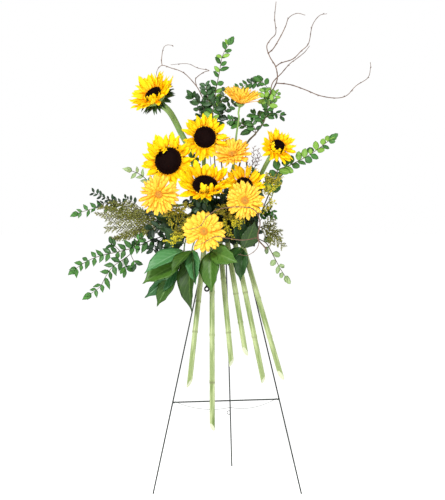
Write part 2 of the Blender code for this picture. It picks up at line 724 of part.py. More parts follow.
def make_sunflower_disc(name, spec, material):
    """The dark disc: a low dome, dipped in the middle, with raised rows of florets."""
    disc = spec["disc"] * 0.93
    around, rings, height = 12, 4, disc * 0.32
    bm = bmesh.new()
    bmesh.ops.create_uvsphere(bm, u_segments=around, v_segments=rings * 2, radius=1.0)
    low = [v for v in bm.verts if v.co.z < -0.001]
    bmesh.ops.delete(bm, geom=low, context="VERTS")
    for vert in bm.verts:
        share = math.acos(min(1.0, vert.co.z)) / (math.pi / 2.0)
        angle = math.atan2(vert.co.y, vert.co.x)
        row = round(share * rings)
        spoke = round(angle / math.tau * around)
        raised = 0.05 * disc * (1 if (row + spoke) % 2 else -1) if 0 < row < rings else 0.0
        dome = height * (1.0 - share ** 4) - 0.12 * disc * math.exp(-(share / 0.34) ** 2)
        radius = disc * (share - 0.10 * share * (1.0 - share))
        vert.co = (radius * math.cos(angle), radius * math.sin(angle), dome + raised)
    rim = [e for e in bm.edges if len(e.link_faces) == 1]
    base = bmesh.ops.extrude_edge_only(bm, edges=rim)["geom"]
    for vert in [g for g in base if isinstance(g, bmesh.types.BMVert)]:
        vert.co.z -= DISC_SEAT
    rim = [e for e in bm.edges if len(e.link_faces) == 1]
    bmesh.ops.holes_fill(bm, edges=rim)
    bmesh.ops.recalc_face_normals(bm, faces=bm.faces[:])
    place = bloom_frame(spec["centre"], spec["facing"])
    bm.transform(place @ Matrix.Translation((0.0, 0.0, HUB + FIT + DISC_SEAT)))
    thing = add_object(name + "_disc", bm, material)
    BUILT.add(thing)
    return thing


def make_gerbera_back(name, spec, material):
    """Thin stem with the small green cup behind a gerbera."""
    place = bloom_frame(spec["centre"], spec["facing"])
    stem = bloom_stem(name + "_stem", spec, place, GERBERA_NECK, material)
    cup = cone("calyx", CALYX_LOW_R, CALYX_TOP_R, -CALYX, -FIT, 8, material)
    cup.data.transform(place)
    combine(stem, [cup])
    BUILT.add(stem)
    return stem


def make_gerbera_bloom(name, spec, material):
    """Two layers of round-ended petals round a raised eye of tiny florets."""
    place = bloom_frame(spec["centre"], spec["facing"])
    hub_r, reach, cup = GERBERA_HUB_R, spec["reach"], spec["cup"]
    hub = cone(name + "_bloom", hub_r, hub_r, 0.0, HUB, 10, material)
    hub.data.transform(place)
    own = (hub.name,)
    length = reach - hub_r * 0.7
    petals = ring_of_blades("petal", own, place, 9, hub_r * 0.75, BACK_LAYER, length, GERBERA_WIDTHS[0],
                            GERBERA_PETAL, cup, math.radians(-6.0), name + "_back", material)
    petals += ring_of_blades("petal", own, place, 7, hub_r * 0.75, FRONT_LAYER, length * 0.84,
                             GERBERA_WIDTHS[1], GERBERA_PETAL, cup + 13.0, math.radians(-8.0),
                             name + "_front", material)
    eye = bmesh.new()
    bmesh.ops.create_uvsphere(eye, u_segments=8, v_segments=4, radius=1.0)
    for vert in eye.verts:
        flat = math.hypot(vert.co.x, vert.co.y)
        spoke = round(math.atan2(vert.co.y, vert.co.x) / math.tau * 8)
        raised = EYE_BEADS if (round(flat * 4) + spoke) % 2 else 0.0
        dip = EYE_DIP * math.exp(-(flat / 0.5) ** 2)
        upper = vert.co.z > 0.01
        height = vert.co.z * EYE_HEIGHT + raised - dip if upper else vert.co.z * EYE_DEPTH
        vert.co = (vert.co.x * EYE_R_GERBERA, vert.co.y * EYE_R_GERBERA, HUB + height)
    eye.transform(place)
    petals.append(add_object("eye", eye, material))
    combine(hub, petals)
    BUILT.add(hub)
    return hub


# Leafy sprays

def sites_along(points, start, spacing):
    """Places and directions at an even spacing along a smooth path, from a share of its length."""
    path = smooth_path([Vector(p) for p in points], 8)
    lengths = [0.0]
    for a, b in zip(path, path[1:]):
        lengths.append(lengths[-1] + (b - a).length)
    sites = []
    at = lengths[-1] * start
    while at < lengths[-1]:
        i = next(k for k in range(1, len(lengths)) if lengths[k] >= at)
        share = (at - lengths[i - 1]) / (lengths[i] - lengths[i - 1])
        sites.append((path[i - 1].lerp(path[i], share), (path[i] - path[i - 1]).normalized(),
                      at / lengths[-1]))
        at += spacing
    return sites, path[-1], (path[-1] - path[-2]).normalized()


def leaf_ways(root, along, upper, axis):
    """Ways to hold one leaf: as it grows, then turned a little about the stem, then shorter."""
    ways = []
    for stretch in (1.0, 0.8):
        for turn in (0.0, 25.0, -25.0, 50.0, -50.0):
            spin = Matrix.Rotation(math.radians(turn), 3, axis)
            ways.append((stretch, turned_frame(root, spin @ along, spin @ upper)))
    return ways


LEAF_SPREAD = 56.0
LEAF_SINK = 0.0006
TIP_SINK = 0.001
TWIG_R, TWIG_END_R, SIDE_TWIG_R = 0.0018, 0.0011, 0.0012


def leaves_on(own, points, start, spacing, size, seed, material):
    """Oval leaves by turns on the two sides of a twig, facing the front."""
    rng = random.Random(seed)
    sites, end, ahead = sites_along(points, start, spacing)
    leaves = []
    length, width = size
    for i, (place, along, share) in enumerate(sites):
        face = Vector((rng.uniform(-0.45, 0.45), -1.0, rng.uniform(-0.1, 0.75)))
        side = along.cross(face).normalized() * (1.0 if i % 2 else -1.0)
        angle = math.radians(LEAF_SPREAD + rng.uniform(-12.0, 12.0))
        grow = along * math.cos(angle) + side * math.sin(angle)
        grow += face.normalized() * rng.uniform(-0.15, 0.35)
        scale = (1.0 - 0.3 * share) * rng.uniform(0.85, 1.12)
        shape = (length * scale, width * scale, OVAL_LEAF, rng.uniform(-0.5, 0.1), 0.0, 1)
        leaf = clear_blade("leaf", own, material, shape,
                           leaf_ways(place - grow.normalized() * LEAF_SINK, grow, face, along))
        if leaf:
            leaves.append(leaf)
    shape = (length * 0.8, width * 0.8, OVAL_LEAF, -0.2, 0.0, 1)
    face = Vector((0.0, -1.0, 0.3))
    tip = clear_blade("leaf", own, material, shape, leaf_ways(end - ahead * TIP_SINK, ahead, face, ahead))
    if tip:
        leaves.append(tip)
    return leaves


SPRAYS = {
    "huckleberry_tall": dict(
        hole=("top", -0.018, -0.026, 0.026), start=0.42, spacing=0.0210, leaf=(0.038, 0.024),
        route=((-0.030, -0.028, 0.900), (-0.040, -0.030, 1.047), (-0.035, -0.020, 1.088),
               (-0.029, -0.010, 1.135), (-0.020, 0.0, 1.182), (-0.010, 0.0, 1.235), (0.008, 0.0, 1.268)),
        side=()),
    "huckleberry_crown_left": dict(
        hole=("top", -0.055, -0.022, 0.026), start=0.60, spacing=0.0210, leaf=(0.035, 0.021),
        route=((-0.084, -0.008, 0.900), (-0.078, 0.014, 1.000), (-0.075, 0.020, 1.060),
               (-0.084, 0.016, 1.094), (-0.099, 0.010, 1.116)),
        side=(((-0.075, 0.020, 1.058), (-0.055, 0.010, 1.095), (-0.050, 0.0, 1.125)),)),
    "huckleberry_crown_right": dict(
        hole=("top", 0.051, -0.022, 0.026), start=0.64, spacing=0.0215, leaf=(0.035, 0.020),
        route=((0.060, -0.020, 0.900), (0.058, -0.020, 0.975), (0.087, -0.020, 1.010),
               (0.110, -0.030, 1.041), (0.121, -0.030, 1.090), (0.127, -0.020, 1.128),
               (0.105, 0.0, 1.162)),
        side=(((0.087, -0.020, 1.010), (0.055, -0.016, 1.028), (0.026, -0.010, 1.036)),)),
    "huckleberry_right": dict(
        hole=("right", -0.036, 0.034, 0.016), start=0.24, spacing=0.0210, leaf=(0.039, 0.027),
        route=((0.134, -0.060, 0.860), (0.148, -0.062, 0.900), (0.180, -0.060, 0.914),
               (0.231, -0.055, 0.940), (0.264, -0.050, 0.962), (0.298, -0.050, 0.988)),
        side=()),
    "huckleberry_left_high": dict(
        hole=("left", -0.026, 0.004, 0.014), start=0.60, spacing=0.0210, leaf=(0.035, 0.021),
        route=((-0.175, -0.055, 0.760), (-0.218, -0.050, 0.776), (-0.262, -0.040, 0.793),
               (-0.306, -0.030, 0.799), (-0.350, -0.020, 0.796), (-0.388, -0.020, 0.790),
               (-0.428, -0.020, 0.778)),
        side=()),
    "huckleberry_left_small": dict(
        hole=("left", -0.026, 0.036, 0.014), start=0.36, spacing=0.0200, leaf=(0.035, 0.021),
        route=((-0.160, -0.045, 0.800), (-0.206, -0.045, 0.845), (-0.228, -0.050, 0.874),
               (-0.250, -0.055, 0.891), (-0.270, -0.060, 0.899)),
        side=()),
    "huckleberry_left_low": dict(
        hole=("left", -0.040, -0.030, 0.014), start=0.32, spacing=0.0215, leaf=(0.041, 0.022),
        route=((-0.155, -0.075, 0.716), (-0.180, -0.085, 0.712), (-0.218, -0.095, 0.699),
               (-0.255, -0.100, 0.683), (-0.293, -0.100, 0.672), (-0.357, -0.100, 0.657),
               (-0.394, -0.100, 0.642), (-0.424, -0.100, 0.622)),
        side=(((-0.255, -0.100, 0.683), (-0.276, -0.110, 0.658), (-0.316, -0.120, 0.630),
               (-0.337, -0.120, 0.603), (-0.354, -0.120, 0.572), (-0.380, -0.120, 0.552)),)),
    "huckleberry_right_low": dict(
        hole=("front", 0.073, -0.036, 0.018), start=0.30, spacing=0.0210, leaf=(0.036, 0.023),
        route=((0.094, -0.125, 0.705), (0.113, -0.122, 0.694), (0.125, -0.115, 0.674),
               (0.141, -0.110, 0.644), (0.153, -0.105, 0.622), (0.167, -0.100, 0.600)),
        side=()),
}


def branch_from(points, radius, material):
    """A side branch, rooted inside the main stem."""
    return tube("branch", [Vector(p) for p in points], radius, material, radius * 0.7, resolution=0)


def make_spray_stems(name, spec, material):
    stem = rooted_stem(name, spec["hole"], spec["route"], TWIG_R, material, TWIG_END_R,
                       resolution=0, per_span=1)
    if spec["side"]:
        combine(stem, [branch_from(points, SIDE_TWIG_R, material) for points in spec["side"]])
        BUILT.add(stem)
    return stem


def leaf_up_spray(stem, spec, material):
    name = stem.name
    own = (name,)
    _, mouth = hole_points(spec["hole"])
    leaves = leaves_on(own, [mouth] + list(spec["route"]), spec["start"], spec["spacing"],
                       spec["leaf"], name, material)
    for k, points in enumerate(spec["side"]):
        leaves += leaves_on(own, points, 0.22, spec["spacing"], spec["leaf"], name + str(k), material)
    combine(stem, leaves)
    BUILT.add(stem)
    return stem


# Broad salal leaves at the foot of the arrangement: a short stem, with each leaf's root, tip,
# width and the way that its upper face looks

SALAL = {
    "salal_left": dict(
        hole=("front", -0.081, -0.036, 0.016),
        route=((-0.112, -0.135, 0.706), (-0.118, -0.142, 0.674), (-0.122, -0.143, 0.642),
               (-0.142, -0.130, 0.612)),
        leaves=(((-0.118, -0.142, 0.674), (-0.227, -0.172, 0.609), 0.054, (-0.1, -1.0, 0.3)),
                ((-0.122, -0.143, 0.643), (-0.232, -0.152, 0.580), 0.066, (-0.1, -1.0, 0.1)),
                ((-0.132, -0.137, 0.626), (-0.229, -0.122, 0.541), 0.042, (-0.2, -1.0, 0.3)),
                ((-0.142, -0.130, 0.613), (-0.192, -0.140, 0.517), 0.044, (0.3, -1.0, 0.2)),
                ((-0.120, -0.138, 0.695), (-0.172, -0.150, 0.740), 0.042, (-0.2, -1.0, 0.3)))),
    "salal_centre": dict(
        hole=("front", -0.065, -0.044, 0.016),
        route=((-0.092, -0.150, 0.690), (-0.096, -0.165, 0.672)),
        leaves=(((-0.095, -0.163, 0.674), (-0.092, -0.178, 0.502), 0.060, (-0.25, -1.0, 0.1)),
                ((-0.094, -0.160, 0.678), (-0.083, -0.204, 0.582), 0.040, (0.30, -1.0, 0.2)),
                ((-0.095, -0.163, 0.675), (-0.150, -0.205, 0.612), 0.042, (-0.2, -1.0, 0.4)))),
    "salal_front": dict(
        hole=("front", -0.025, -0.044, 0.016),
        route=((-0.040, -0.155, 0.688), (-0.042, -0.168, 0.672)),
        leaves=(((-0.042, -0.167, 0.674), (-0.038, -0.195, 0.560), 0.056, (0.1, -1.0, 0.25)),
                ((-0.042, -0.167, 0.674), (0.032, -0.220, 0.644), 0.054, (0.2, -1.0, 0.5)))),
    "salal_right": dict(
        hole=("front", 0.028, -0.044, 0.016),
        route=((0.040, -0.150, 0.690), (0.046, -0.162, 0.680)),
        leaves=(((0.045, -0.161, 0.681), (0.040, -0.175, 0.592), 0.040, (0.3, -1.0, 0.1)),
                ((0.046, -0.162, 0.680), (0.078, -0.172, 0.757), 0.054, (0.2, -1.0, 0.2)),
                ((0.042, -0.155, 0.686), (0.026, -0.155, 0.778), 0.044, (0.0, -1.0, 0.0)),
                ((0.043, -0.157, 0.685), (0.008, -0.185, 0.634), 0.044, (-0.3, -1.0, 0.4)))),
}


SALAL_STEM_R, SALAL_END_R = 0.0022, 0.0016
SALAL_TILT, SALAL_BEND, SALAL_FOLD = 0.22, -0.45, 0.22


def make_salal_stem(name, spec, material):
    return rooted_stem(name, spec["hole"], spec["route"], SALAL_STEM_R, material, SALAL_END_R,
                       resolution=1, per_span=1)


def leaf_up_salal(stem, spec, material):
    leaves = []
    for root, tip, width, face in spec["leaves"]:
        root, run = Vector(root), Vector(tip) - Vector(root)
        face = Vector(face)
        axis = run.normalized()
        shape = (run.length * 1.03, width, BROAD_LEAF, SALAL_BEND, SALAL_FOLD, 2)
        ways = []
        for stretch in (1.0, 0.88, 0.76):
            for turn in (0.0, 14.0, -14.0, 28.0, -28.0):
                spin = Matrix.Rotation(math.radians(turn), 3, axis)
                tilt = Matrix.Rotation(SALAL_TILT, 3, axis.cross(face).normalized())
                ways.append((stretch, turned_frame(root, spin @ (tilt @ run), spin @ face)))
        leaf = clear_blade("salal_leaf", (stem.name,), material, shape, ways)
        if leaf:
            leaves.append(leaf)
    combine(stem, leaves)
    BUILT.add(stem)
    return stem


# Feathery tree-fern plumes: side twigs with short needles, in one slim body

PLUMES = {
    "plume_left": dict(
        hole=("left", -0.060, -0.006, 0.014),
        route=((-0.150, -0.090, 0.744), (-0.200, -0.086, 0.742), (-0.270, -0.078, 0.738),
               (-0.342, -0.070, 0.734)),
        side=(((-0.190, -0.087, 0.742), (-0.260, -0.088, 0.722), (-0.320, -0.090, 0.704)),
              ((-0.180, -0.087, 0.742), (-0.240, -0.076, 0.764), (-0.305, -0.066, 0.784),
               (-0.360, -0.062, 0.794)))),
    "plume_right": dict(
        hole=("front", 0.083, -0.010, 0.016),
        route=((0.106, -0.125, 0.735), (0.122, -0.125, 0.722), (0.142, -0.120, 0.705),
               (0.160, -0.115, 0.686)),
        side=(((0.118, -0.125, 0.726), (0.134, -0.120, 0.731), (0.152, -0.115, 0.724)),)),
}


PLUME_R, PLUME_END_R, PLUME_SIDE_R = 0.0016, 0.0008, 0.0010
NEEDLE_R = 0.0008
NEEDLE_SPACING = 0.0185
NEEDLE_LENGTHS = (0.028, 0.024)


def needles_on(points, start, spacing, length, seed):
    """Three-sided needles in pairs along a twig."""
    rng = random.Random(seed)
    sites, _, _ = sites_along(points, start, spacing)
    needles = []
    for i, (place, along, share) in enumerate(sites):
        face = Vector((rng.uniform(-0.6, 0.6), -1.0, rng.uniform(-0.5, 0.9)))
        side = along.cross(face).normalized() * (1.0 if i % 2 else -1.0)
        grow = (along * 0.72 + side * 0.7 + face.normalized() * rng.uniform(-0.3, 0.3)).normalized()
        size = length * (1.0 - 0.45 * share) * rng.uniform(0.8, 1.15)
        bm = bmesh.new()
        bmesh.ops.create_cone(bm, cap_ends=True, segments=3, radius1=NEEDLE_R, radius2=0.0, depth=size)
        bmesh.ops.translate(bm, vec=(0.0, 0.0, size / 2.0), verts=bm.verts[:])
        turn = grow.to_track_quat("Z", "Y").to_matrix().to_4x4()
        bm.transform(Matrix.Translation(place) @ turn)
        needles.append(bm)
    return needles


def keep_clear(bms, own, name, material):
    """Add the small pieces that cross nothing, and drop the others."""
    pieces = []
    for bm in bms:
        if BUILT.is_clear(bm, own):
            pieces.append(add_object(name, bm, material))
        else:
            bm.free()
    return pieces


def make_plume_stems(name, spec, material):
    stem = rooted_stem(name, spec["hole"], spec["route"], PLUME_R, material, PLUME_END_R,
                       resolution=0, per_span=1)
    branches = [branch_from(points, PLUME_SIDE_R, material) for points in spec["side"]]
    combine(stem, branches)
    BUILT.add(stem)
    return stem


def needle_plume(stem, spec, material):
    _, mouth = hole_points(spec["hole"])
    main_length, side_length = NEEDLE_LENGTHS
    route = [mouth] + list(spec["route"])
    needles = needles_on(route, 0.25, NEEDLE_SPACING, main_length, stem.name)
    for k, points in enumerate(spec["side"]):
        needles += needles_on(points, 0.15, NEEDLE_SPACING, side_length, stem.name + str(k))
    combine(stem, keep_clear(needles, (stem.name,), "needle", material))
    BUILT.add(stem)
    return stem


# Goldenrod: branching stems with small flower heads along them

GOLDENROD = {
    "goldenrod_left": dict(
        hole=("front", -0.083, 0.014, 0.016),
        route=((-0.112, -0.128, 0.772), (-0.132, -0.150, 0.782), (-0.142, -0.160, 0.806)),
        side=(((-0.128, -0.146, 0.779), (-0.150, -0.158, 0.770), (-0.158, -0.168, 0.756)),
              ((-0.114, -0.130, 0.773), (-0.122, -0.150, 0.752), (-0.130, -0.162, 0.732)),
              ((-0.130, -0.148, 0.780), (-0.118, -0.162, 0.792), (-0.112, -0.172, 0.800)))),
    "goldenrod_middle": dict(
        hole=("front", 0.000, -0.002, 0.016),
        route=((0.000, -0.130, 0.765), (0.000, -0.150, 0.780), (-0.004, -0.165, 0.800)),
        side=(((0.000, -0.140, 0.773), (0.012, -0.160, 0.765), (0.030, -0.172, 0.745)),
              ((0.000, -0.130, 0.765), (-0.004, -0.155, 0.745), (0.004, -0.172, 0.725)),
              ((0.000, -0.146, 0.777), (-0.014, -0.165, 0.782), (-0.022, -0.180, 0.790)))),
    "goldenrod_right": dict(
        hole=("right", -0.062, 0.036, 0.014),
        route=((0.130, -0.098, 0.825), (0.132, -0.098, 0.860), (0.128, -0.094, 0.888)),
        side=(((0.131, -0.098, 0.845), (0.142, -0.100, 0.860), (0.150, -0.104, 0.880)),
              ((0.130, -0.098, 0.828), (0.118, -0.106, 0.838), (0.112, -0.112, 0.850)),
              ((0.131, -0.098, 0.850), (0.122, -0.106, 0.868), (0.112, -0.108, 0.884)))),
}


ROD_R, ROD_END_R, ROD_SIDE_R = 0.0018, 0.0010, 0.0011
HEAD_SPACING = 0.0140
HEAD_R = 0.0048


def florets_on(points, start, spacing, size, seed):
    """Small six-sided flower heads close along a branch, larger than life."""
    rng = random.Random(seed)
    sites, _, _ = sites_along(points, start, spacing)
    heads = []
    for place, along, _ in sites:
        off = along.cross(Vector((rng.uniform(-1, 1), -1.0, rng.uniform(-1, 1)))).normalized()
        bm = bmesh.new()
        bmesh.ops.create_uvsphere(bm, u_segments=3, v_segments=2, radius=size * rng.uniform(0.9, 1.25))
        bmesh.ops.scale(bm, vec=(1.0, 1.0, 1.25), verts=bm.verts[:])
        turn = (along * 0.6 + off).to_track_quat("Z", "Y").to_matrix().to_4x4()
        bm.transform(Matrix.Translation(place + off * size * 0.9) @ turn)
        heads.append(bm)
    return heads


def make_goldenrod_stems(name, spec, material):
    stem = rooted_stem(name, spec["hole"], spec["route"], ROD_R, material, ROD_END_R,
                       resolution=0, per_span=1)
    combine(stem, [branch_from(points, ROD_SIDE_R, material) for points in spec["side"]])
    BUILT.add(stem)
    return stem


def flower_goldenrod(stem, spec, material):
    heads = florets_on(spec["route"][1:], 0.0, HEAD_SPACING, HEAD_R, stem.name)
    for k, points in enumerate(spec["side"]):
        heads += florets_on(points, 0.3, HEAD_SPACING, HEAD_R, stem.name + str(k))
    combine(stem, keep_clear(heads, (stem.name,), "floret", material))
    BUILT.add(stem)
    return stem


# Curly willow twigs

WILLOWS = {
    "willow_right": dict(
        hole=("top", 0.032, -0.018, 0.028), radius=0.0026,
        route=((0.036, -0.012, 0.890), (0.045, 0.004, 0.940), (0.060, 0.016, 0.980),
               (0.088, 0.022, 1.012), (0.109, 0.032, 1.045), (0.121, 0.050, 1.100),
               (0.136, 0.060, 1.136), (0.149, 0.068, 1.163), (0.153, 0.070, 1.185),
               (0.147, 0.072, 1.214), (0.131, 0.080, 1.242), (0.122, 0.090, 1.274),
               (0.134, 0.100, 1.297), (0.150, 0.110, 1.318), (0.147, 0.125, 1.365),
               (0.152, 0.140, 1.416)),
        side=(((0.127, 0.082, 1.254), (0.143, 0.090, 1.270), (0.165, 0.100, 1.308),
               (0.180, 0.115, 1.340), (0.190, 0.128, 1.366), (0.215, 0.140, 1.381), (0.241, 0.150, 1.377)),
              ((0.148, 0.072, 1.212), (0.164, 0.080, 1.224), (0.200, 0.100, 1.238),
               (0.226, 0.120, 1.264), (0.250, 0.132, 1.290), (0.262, 0.148, 1.345),
               (0.285, 0.166, 1.378), (0.309, 0.180, 1.386)),
              ((0.131, 0.058, 1.128), (0.138, 0.052, 1.162), (0.165, 0.062, 1.192),
               (0.190, 0.088, 1.222), (0.212, 0.108, 1.240), (0.237, 0.135, 1.262), (0.254, 0.150, 1.284)),
              ((0.149, 0.068, 1.163), (0.192, 0.095, 1.161), (0.240, 0.140, 1.150),
               (0.288, 0.175, 1.135), (0.340, 0.210, 1.131), (0.375, 0.228, 1.141),
               (0.405, 0.246, 1.172), (0.443, 0.256, 1.198), (0.452, 0.262, 1.230), (0.452, 0.264, 1.248)))),
    "willow_left": dict(
        hole=("top", -0.003, -0.018, 0.028), radius=0.0020,
        route=((-0.010, 0.0, 0.900), (-0.022, 0.022, 0.980), (-0.037, 0.034, 1.049),
               (-0.057, 0.040, 1.094), (-0.072, 0.042, 1.124), (-0.087, 0.046, 1.152),
               (-0.124, 0.060, 1.192), (-0.163, 0.080, 1.209), (-0.190, 0.090, 1.218),
               (-0.204, 0.090, 1.205), (-0.208, 0.090, 1.186)),
        side=(((-0.086, 0.046, 1.150), (-0.089, 0.050, 1.174), (-0.065, 0.056, 1.194),
               (-0.050, 0.062, 1.200), (-0.083, 0.072, 1.208), (-0.115, 0.090, 1.223),
               (-0.165, 0.100, 1.221)),
              ((-0.190, 0.090, 1.217), (-0.192, 0.094, 1.235), (-0.188, 0.105, 1.268),
               (-0.178, 0.110, 1.281), (-0.158, 0.110, 1.280)))),
    "willow_low": dict(
        hole=("right", -0.060, -0.043, 0.014), radius=0.0020,
        route=((0.113, -0.135, 0.678), (0.100, -0.185, 0.692), (0.086, -0.215, 0.712), (0.092, -0.235, 0.755),
               (0.074, -0.250, 0.790), (0.030, -0.255, 0.796), (-0.020, -0.250, 0.790),
               (-0.052, -0.255, 0.770), (-0.070, -0.262, 0.745), (-0.100, -0.255, 0.735)),
        side=(((0.086, -0.215, 0.712), (0.045, -0.240, 0.706), (0.000, -0.250, 0.712),
               (-0.030, -0.262, 0.716), (-0.060, -0.268, 0.700), (-0.086, -0.262, 0.690)),
              ((0.087, -0.219, 0.721), (0.089, -0.225, 0.700), (0.082, -0.222, 0.680),
               (0.058, -0.222, 0.664), (0.032, -0.226, 0.667)))),
}


WILLOW_TAPER = 0.42
WILLOW_SIDE = 0.6


def make_willow(name, spec, material):
    stem = rooted_stem(name, spec["hole"], spec["route"], spec["radius"], material,
                       spec["radius"] * WILLOW_TAPER, resolution=0, per_span=1)
    twigs = []
    for points in spec["side"]:
        twigs.append(branch_from(points, spec["radius"] * WILLOW_SIDE, material))
    combine(stem, twigs)
    BUILT.add(stem)
    return stem


# Six cut stems that hang below the holder, each with its nodes and a slanted end

CUT_STEM_R = 0.0075
CUT_STEMS = (
    dict(x=-0.046, tip=(-0.103, -0.176, 0.292), nodes=(0.42, 0.62)),
    dict(x=-0.026, tip=(-0.038, -0.205, 0.176), nodes=(0.28, 0.50, 0.74)),
    dict(x=-0.004, tip=(0.016, -0.168, 0.348), nodes=(0.30, 0.72)),
    dict(x=0.018, tip=(0.056, -0.162, 0.378), nodes=(0.45, 0.70)),
    dict(x=0.040, tip=(0.106, -0.178, 0.302), nodes=(0.35, 0.66)),
    dict(x=0.061, tip=(0.156, -0.178, 0.314), nodes=(0.40, 0.68)),
)
CUT_STEM_Y = -0.043
CUT_STEM_FORWARD = -0.016
CUT_STEM_HOLE = 0.026
NODE_STEPS = ((-0.012, 0.94), (0.0, 1.10), (0.012, 0.94))
CUT_END = 0.96
SLANT_BACK, SLANT = 0.014, 1.6


def make_cut_stem(number, spec, material):
    """A pale green stalk: straight, swollen a little at each node, cut across on a slant."""
    name = f"cut_stem_{number}"
    bottom, mouth = hole_points(("bottom", spec["x"], CUT_STEM_Y, CUT_STEM_HOLE))
    tip = Vector(spec["tip"])
    run = tip - mouth
    path, radii = [bottom, mouth], [1.0, 1.0]
    for share in spec["nodes"]:
        for step, swell in NODE_STEPS:
            place = mouth + run * (share + step)
            place.y += CUT_STEM_FORWARD * math.sin(math.pi * (share + step))
            path.append(place)
            radii.append(swell)
    path.append(tip)
    radii.append(CUT_END)
    stem = tube(name, path, CUT_STEM_R, material, resolution=2)
    swell_stem(stem, path, radii)
    slant_end(stem, tip, run.normalized(), number)
    into = (bottom - mouth).normalized()
    cut = tube(name + "_hole", [bottom + into * HOLE_FIT, mouth], CUT_STEM_R + HOLE_FIT, material, None, 2)
    CUTTERS.append(cut)
    smooth_shading(stem)
    BUILT.add(stem)
    return stem


def swell_stem(stem, path, radii):
    """Scale each ring of the stem about the path, which makes its nodes."""
    for vert in stem.data.vertices:
        k = min(range(len(path)), key=lambda i: (vert.co - path[i]).length_squared)
        vert.co = path[k] + (vert.co - path[k]) * radii[k]


def slant_end(stem, tip, along, number):
    side = Vector((1.0, -0.6, 0.0)) if number % 2 else Vector((-0.8, -0.9, 0.0))
    normal = (along + side.normalized() * SLANT).normalized()
    bm = bmesh.new()
    bm.from_mesh(stem.data)
    bmesh.ops.bisect_plane(bm, geom=bm.verts[:] + bm.edges[:] + bm.faces[:],
                           plane_co=tip - along * SLANT_BACK, plane_no=normal, clear_outer=True)
    bmesh.ops.holes_fill(bm, edges=[e for e in bm.edges if len(e.link_faces) == 1])
    bmesh.ops.recalc_face_normals(bm, faces=bm.faces[:])
    bm.to_mesh(stem.data)
    bm.free()


def make_foam(material):
    half_x, half_z = FOAM.x / 2.0, FOAM.z / 2.0
    foam = rounded_box("foam_block", (-half_x, FOAM_FRONT, -half_z), (half_x, FOAM_BACK, half_z),
                       material, FOAM_BEVEL)
    foam.data.transform(HOLDER)
    return foam


def main():
    clear_scene()
    wire = make_material("easel_wire", (0.035, 0.045, 0.035), 0.45, 0.6)
    stay_wire = make_material("stay_wire", (0.33, 0.36, 0.33), 0.4, 0.8)
    tray_green = make_material("tray_plastic", (0.012, 0.02, 0.014), 0.45)
    foam_green = make_material("floral_foam", (0.05, 0.16, 0.06), 0.95)
    ray_yellow = make_material("sunflower_petal", (1.0, 0.66, 0.01), 0.55)
    disc_brown = make_material("sunflower_disc", (0.018, 0.007, 0.008), 0.9)
    stalk_green = make_material("flower_stem", (0.22, 0.36, 0.10), 0.5)
    gerbera_gold = make_material("gerbera_petal", (0.96, 0.50, 0.03), 0.5)
    leaf_green = make_material("huckleberry_leaf", (0.05, 0.17, 0.05), 0.4)
    plume_green = make_material("plume_needle", (0.16, 0.19, 0.05), 0.7)
    rod_yellow = make_material("goldenrod_floret", (0.44, 0.40, 0.03), 0.8)
    salal_green = make_material("salal_leaf", (0.08, 0.24, 0.06), 0.35)
    willow_brown = make_material("willow_twig", (0.20, 0.13, 0.10), 0.75)
    cut_green = make_material("cut_stem", (0.34, 0.46, 0.14), 0.45)

    for frame_part in (make_front_frame(wire), make_rear_leg(wire), make_tray(tray_green)):
        BUILT.add(frame_part)
    stay = tube("stay", stay_route(), STAY_R, stay_wire, resolution=0)
    BUILT.add(stay)
    foam = make_foam(foam_green)

    for name, spec in SUNFLOWERS.items():
        make_sunflower_back(name, spec, stalk_green)
    for name, spec in GERBERAS.items():
        make_gerbera_back(name, spec, stalk_green)
    sprays = {name: make_spray_stems(name, spec, leaf_green) for name, spec in SPRAYS.items()}
    salals = {name: make_salal_stem(name, spec, salal_green) for name, spec in SALAL.items()}
    plumes = {name: make_plume_stems(name, spec, plume_green) for name, spec in PLUMES.items()}
    rods = {name: make_goldenrod_stems(name, spec, rod_yellow) for name, spec in GOLDENROD.items()}
    for name, spec in WILLOWS.items():
        make_willow(name, spec, willow_brown)
    for number, spec in enumerate(CUT_STEMS, 1):
        make_cut_stem(number, spec, cut_green)

    combine(foam, CUTTERS, "DIFFERENCE")
    BUILT.add(foam)
    for name, spec in SUNFLOWERS.items():
        make_sunflower_disc(name, spec, disc_brown)
    for name in ("sunflower_middle", "sunflower_left", "sunflower_top", "sunflower_behind",
                 "sunflower_right", "sunflower_high"):
        make_sunflower_petals(name, SUNFLOWERS[name], ray_yellow)
    for name in ("gerbera_right", "gerbera_bottom", "gerbera_left", "gerbera_upper", "gerbera_high"):
        make_gerbera_bloom(name, GERBERAS[name], gerbera_gold)
    for name, stem in salals.items():
        leaf_up_salal(stem, SALAL[name], salal_green)
    for name, stem in sprays.items():
        leaf_up_spray(stem, SPRAYS[name], leaf_green)
    for name, stem in rods.items():
        flower_goldenrod(stem, GOLDENROD[name], rod_yellow)
    for name, stem in plumes.items():
        needle_plume(stem, PLUMES[name], plume_green)

    group = bpy.data.collections.new("standing_flower_arrangement")
    SCENE.collection.children.link(group)
    for thing in list(SCENE.collection.objects):
        SCENE.collection.objects.unlink(thing)
        group.objects.link(thing)


main()
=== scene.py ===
# %% [markdown]
# # A standing flower arrangement, dressed
#
# The imported solids give every stem, leaf and petal its place. This lesson dresses them: it builds
# finer petals, leaves and twigs in the same places, gives each its own material, and lights the
# whole softly against white. It starts with the frame, which is the imported model.

# %% Load the frame
import json
import math
import random

import bmesh
import bpy
from mathutils import Matrix, Vector
from mathutils.bvhtree import BVHTree

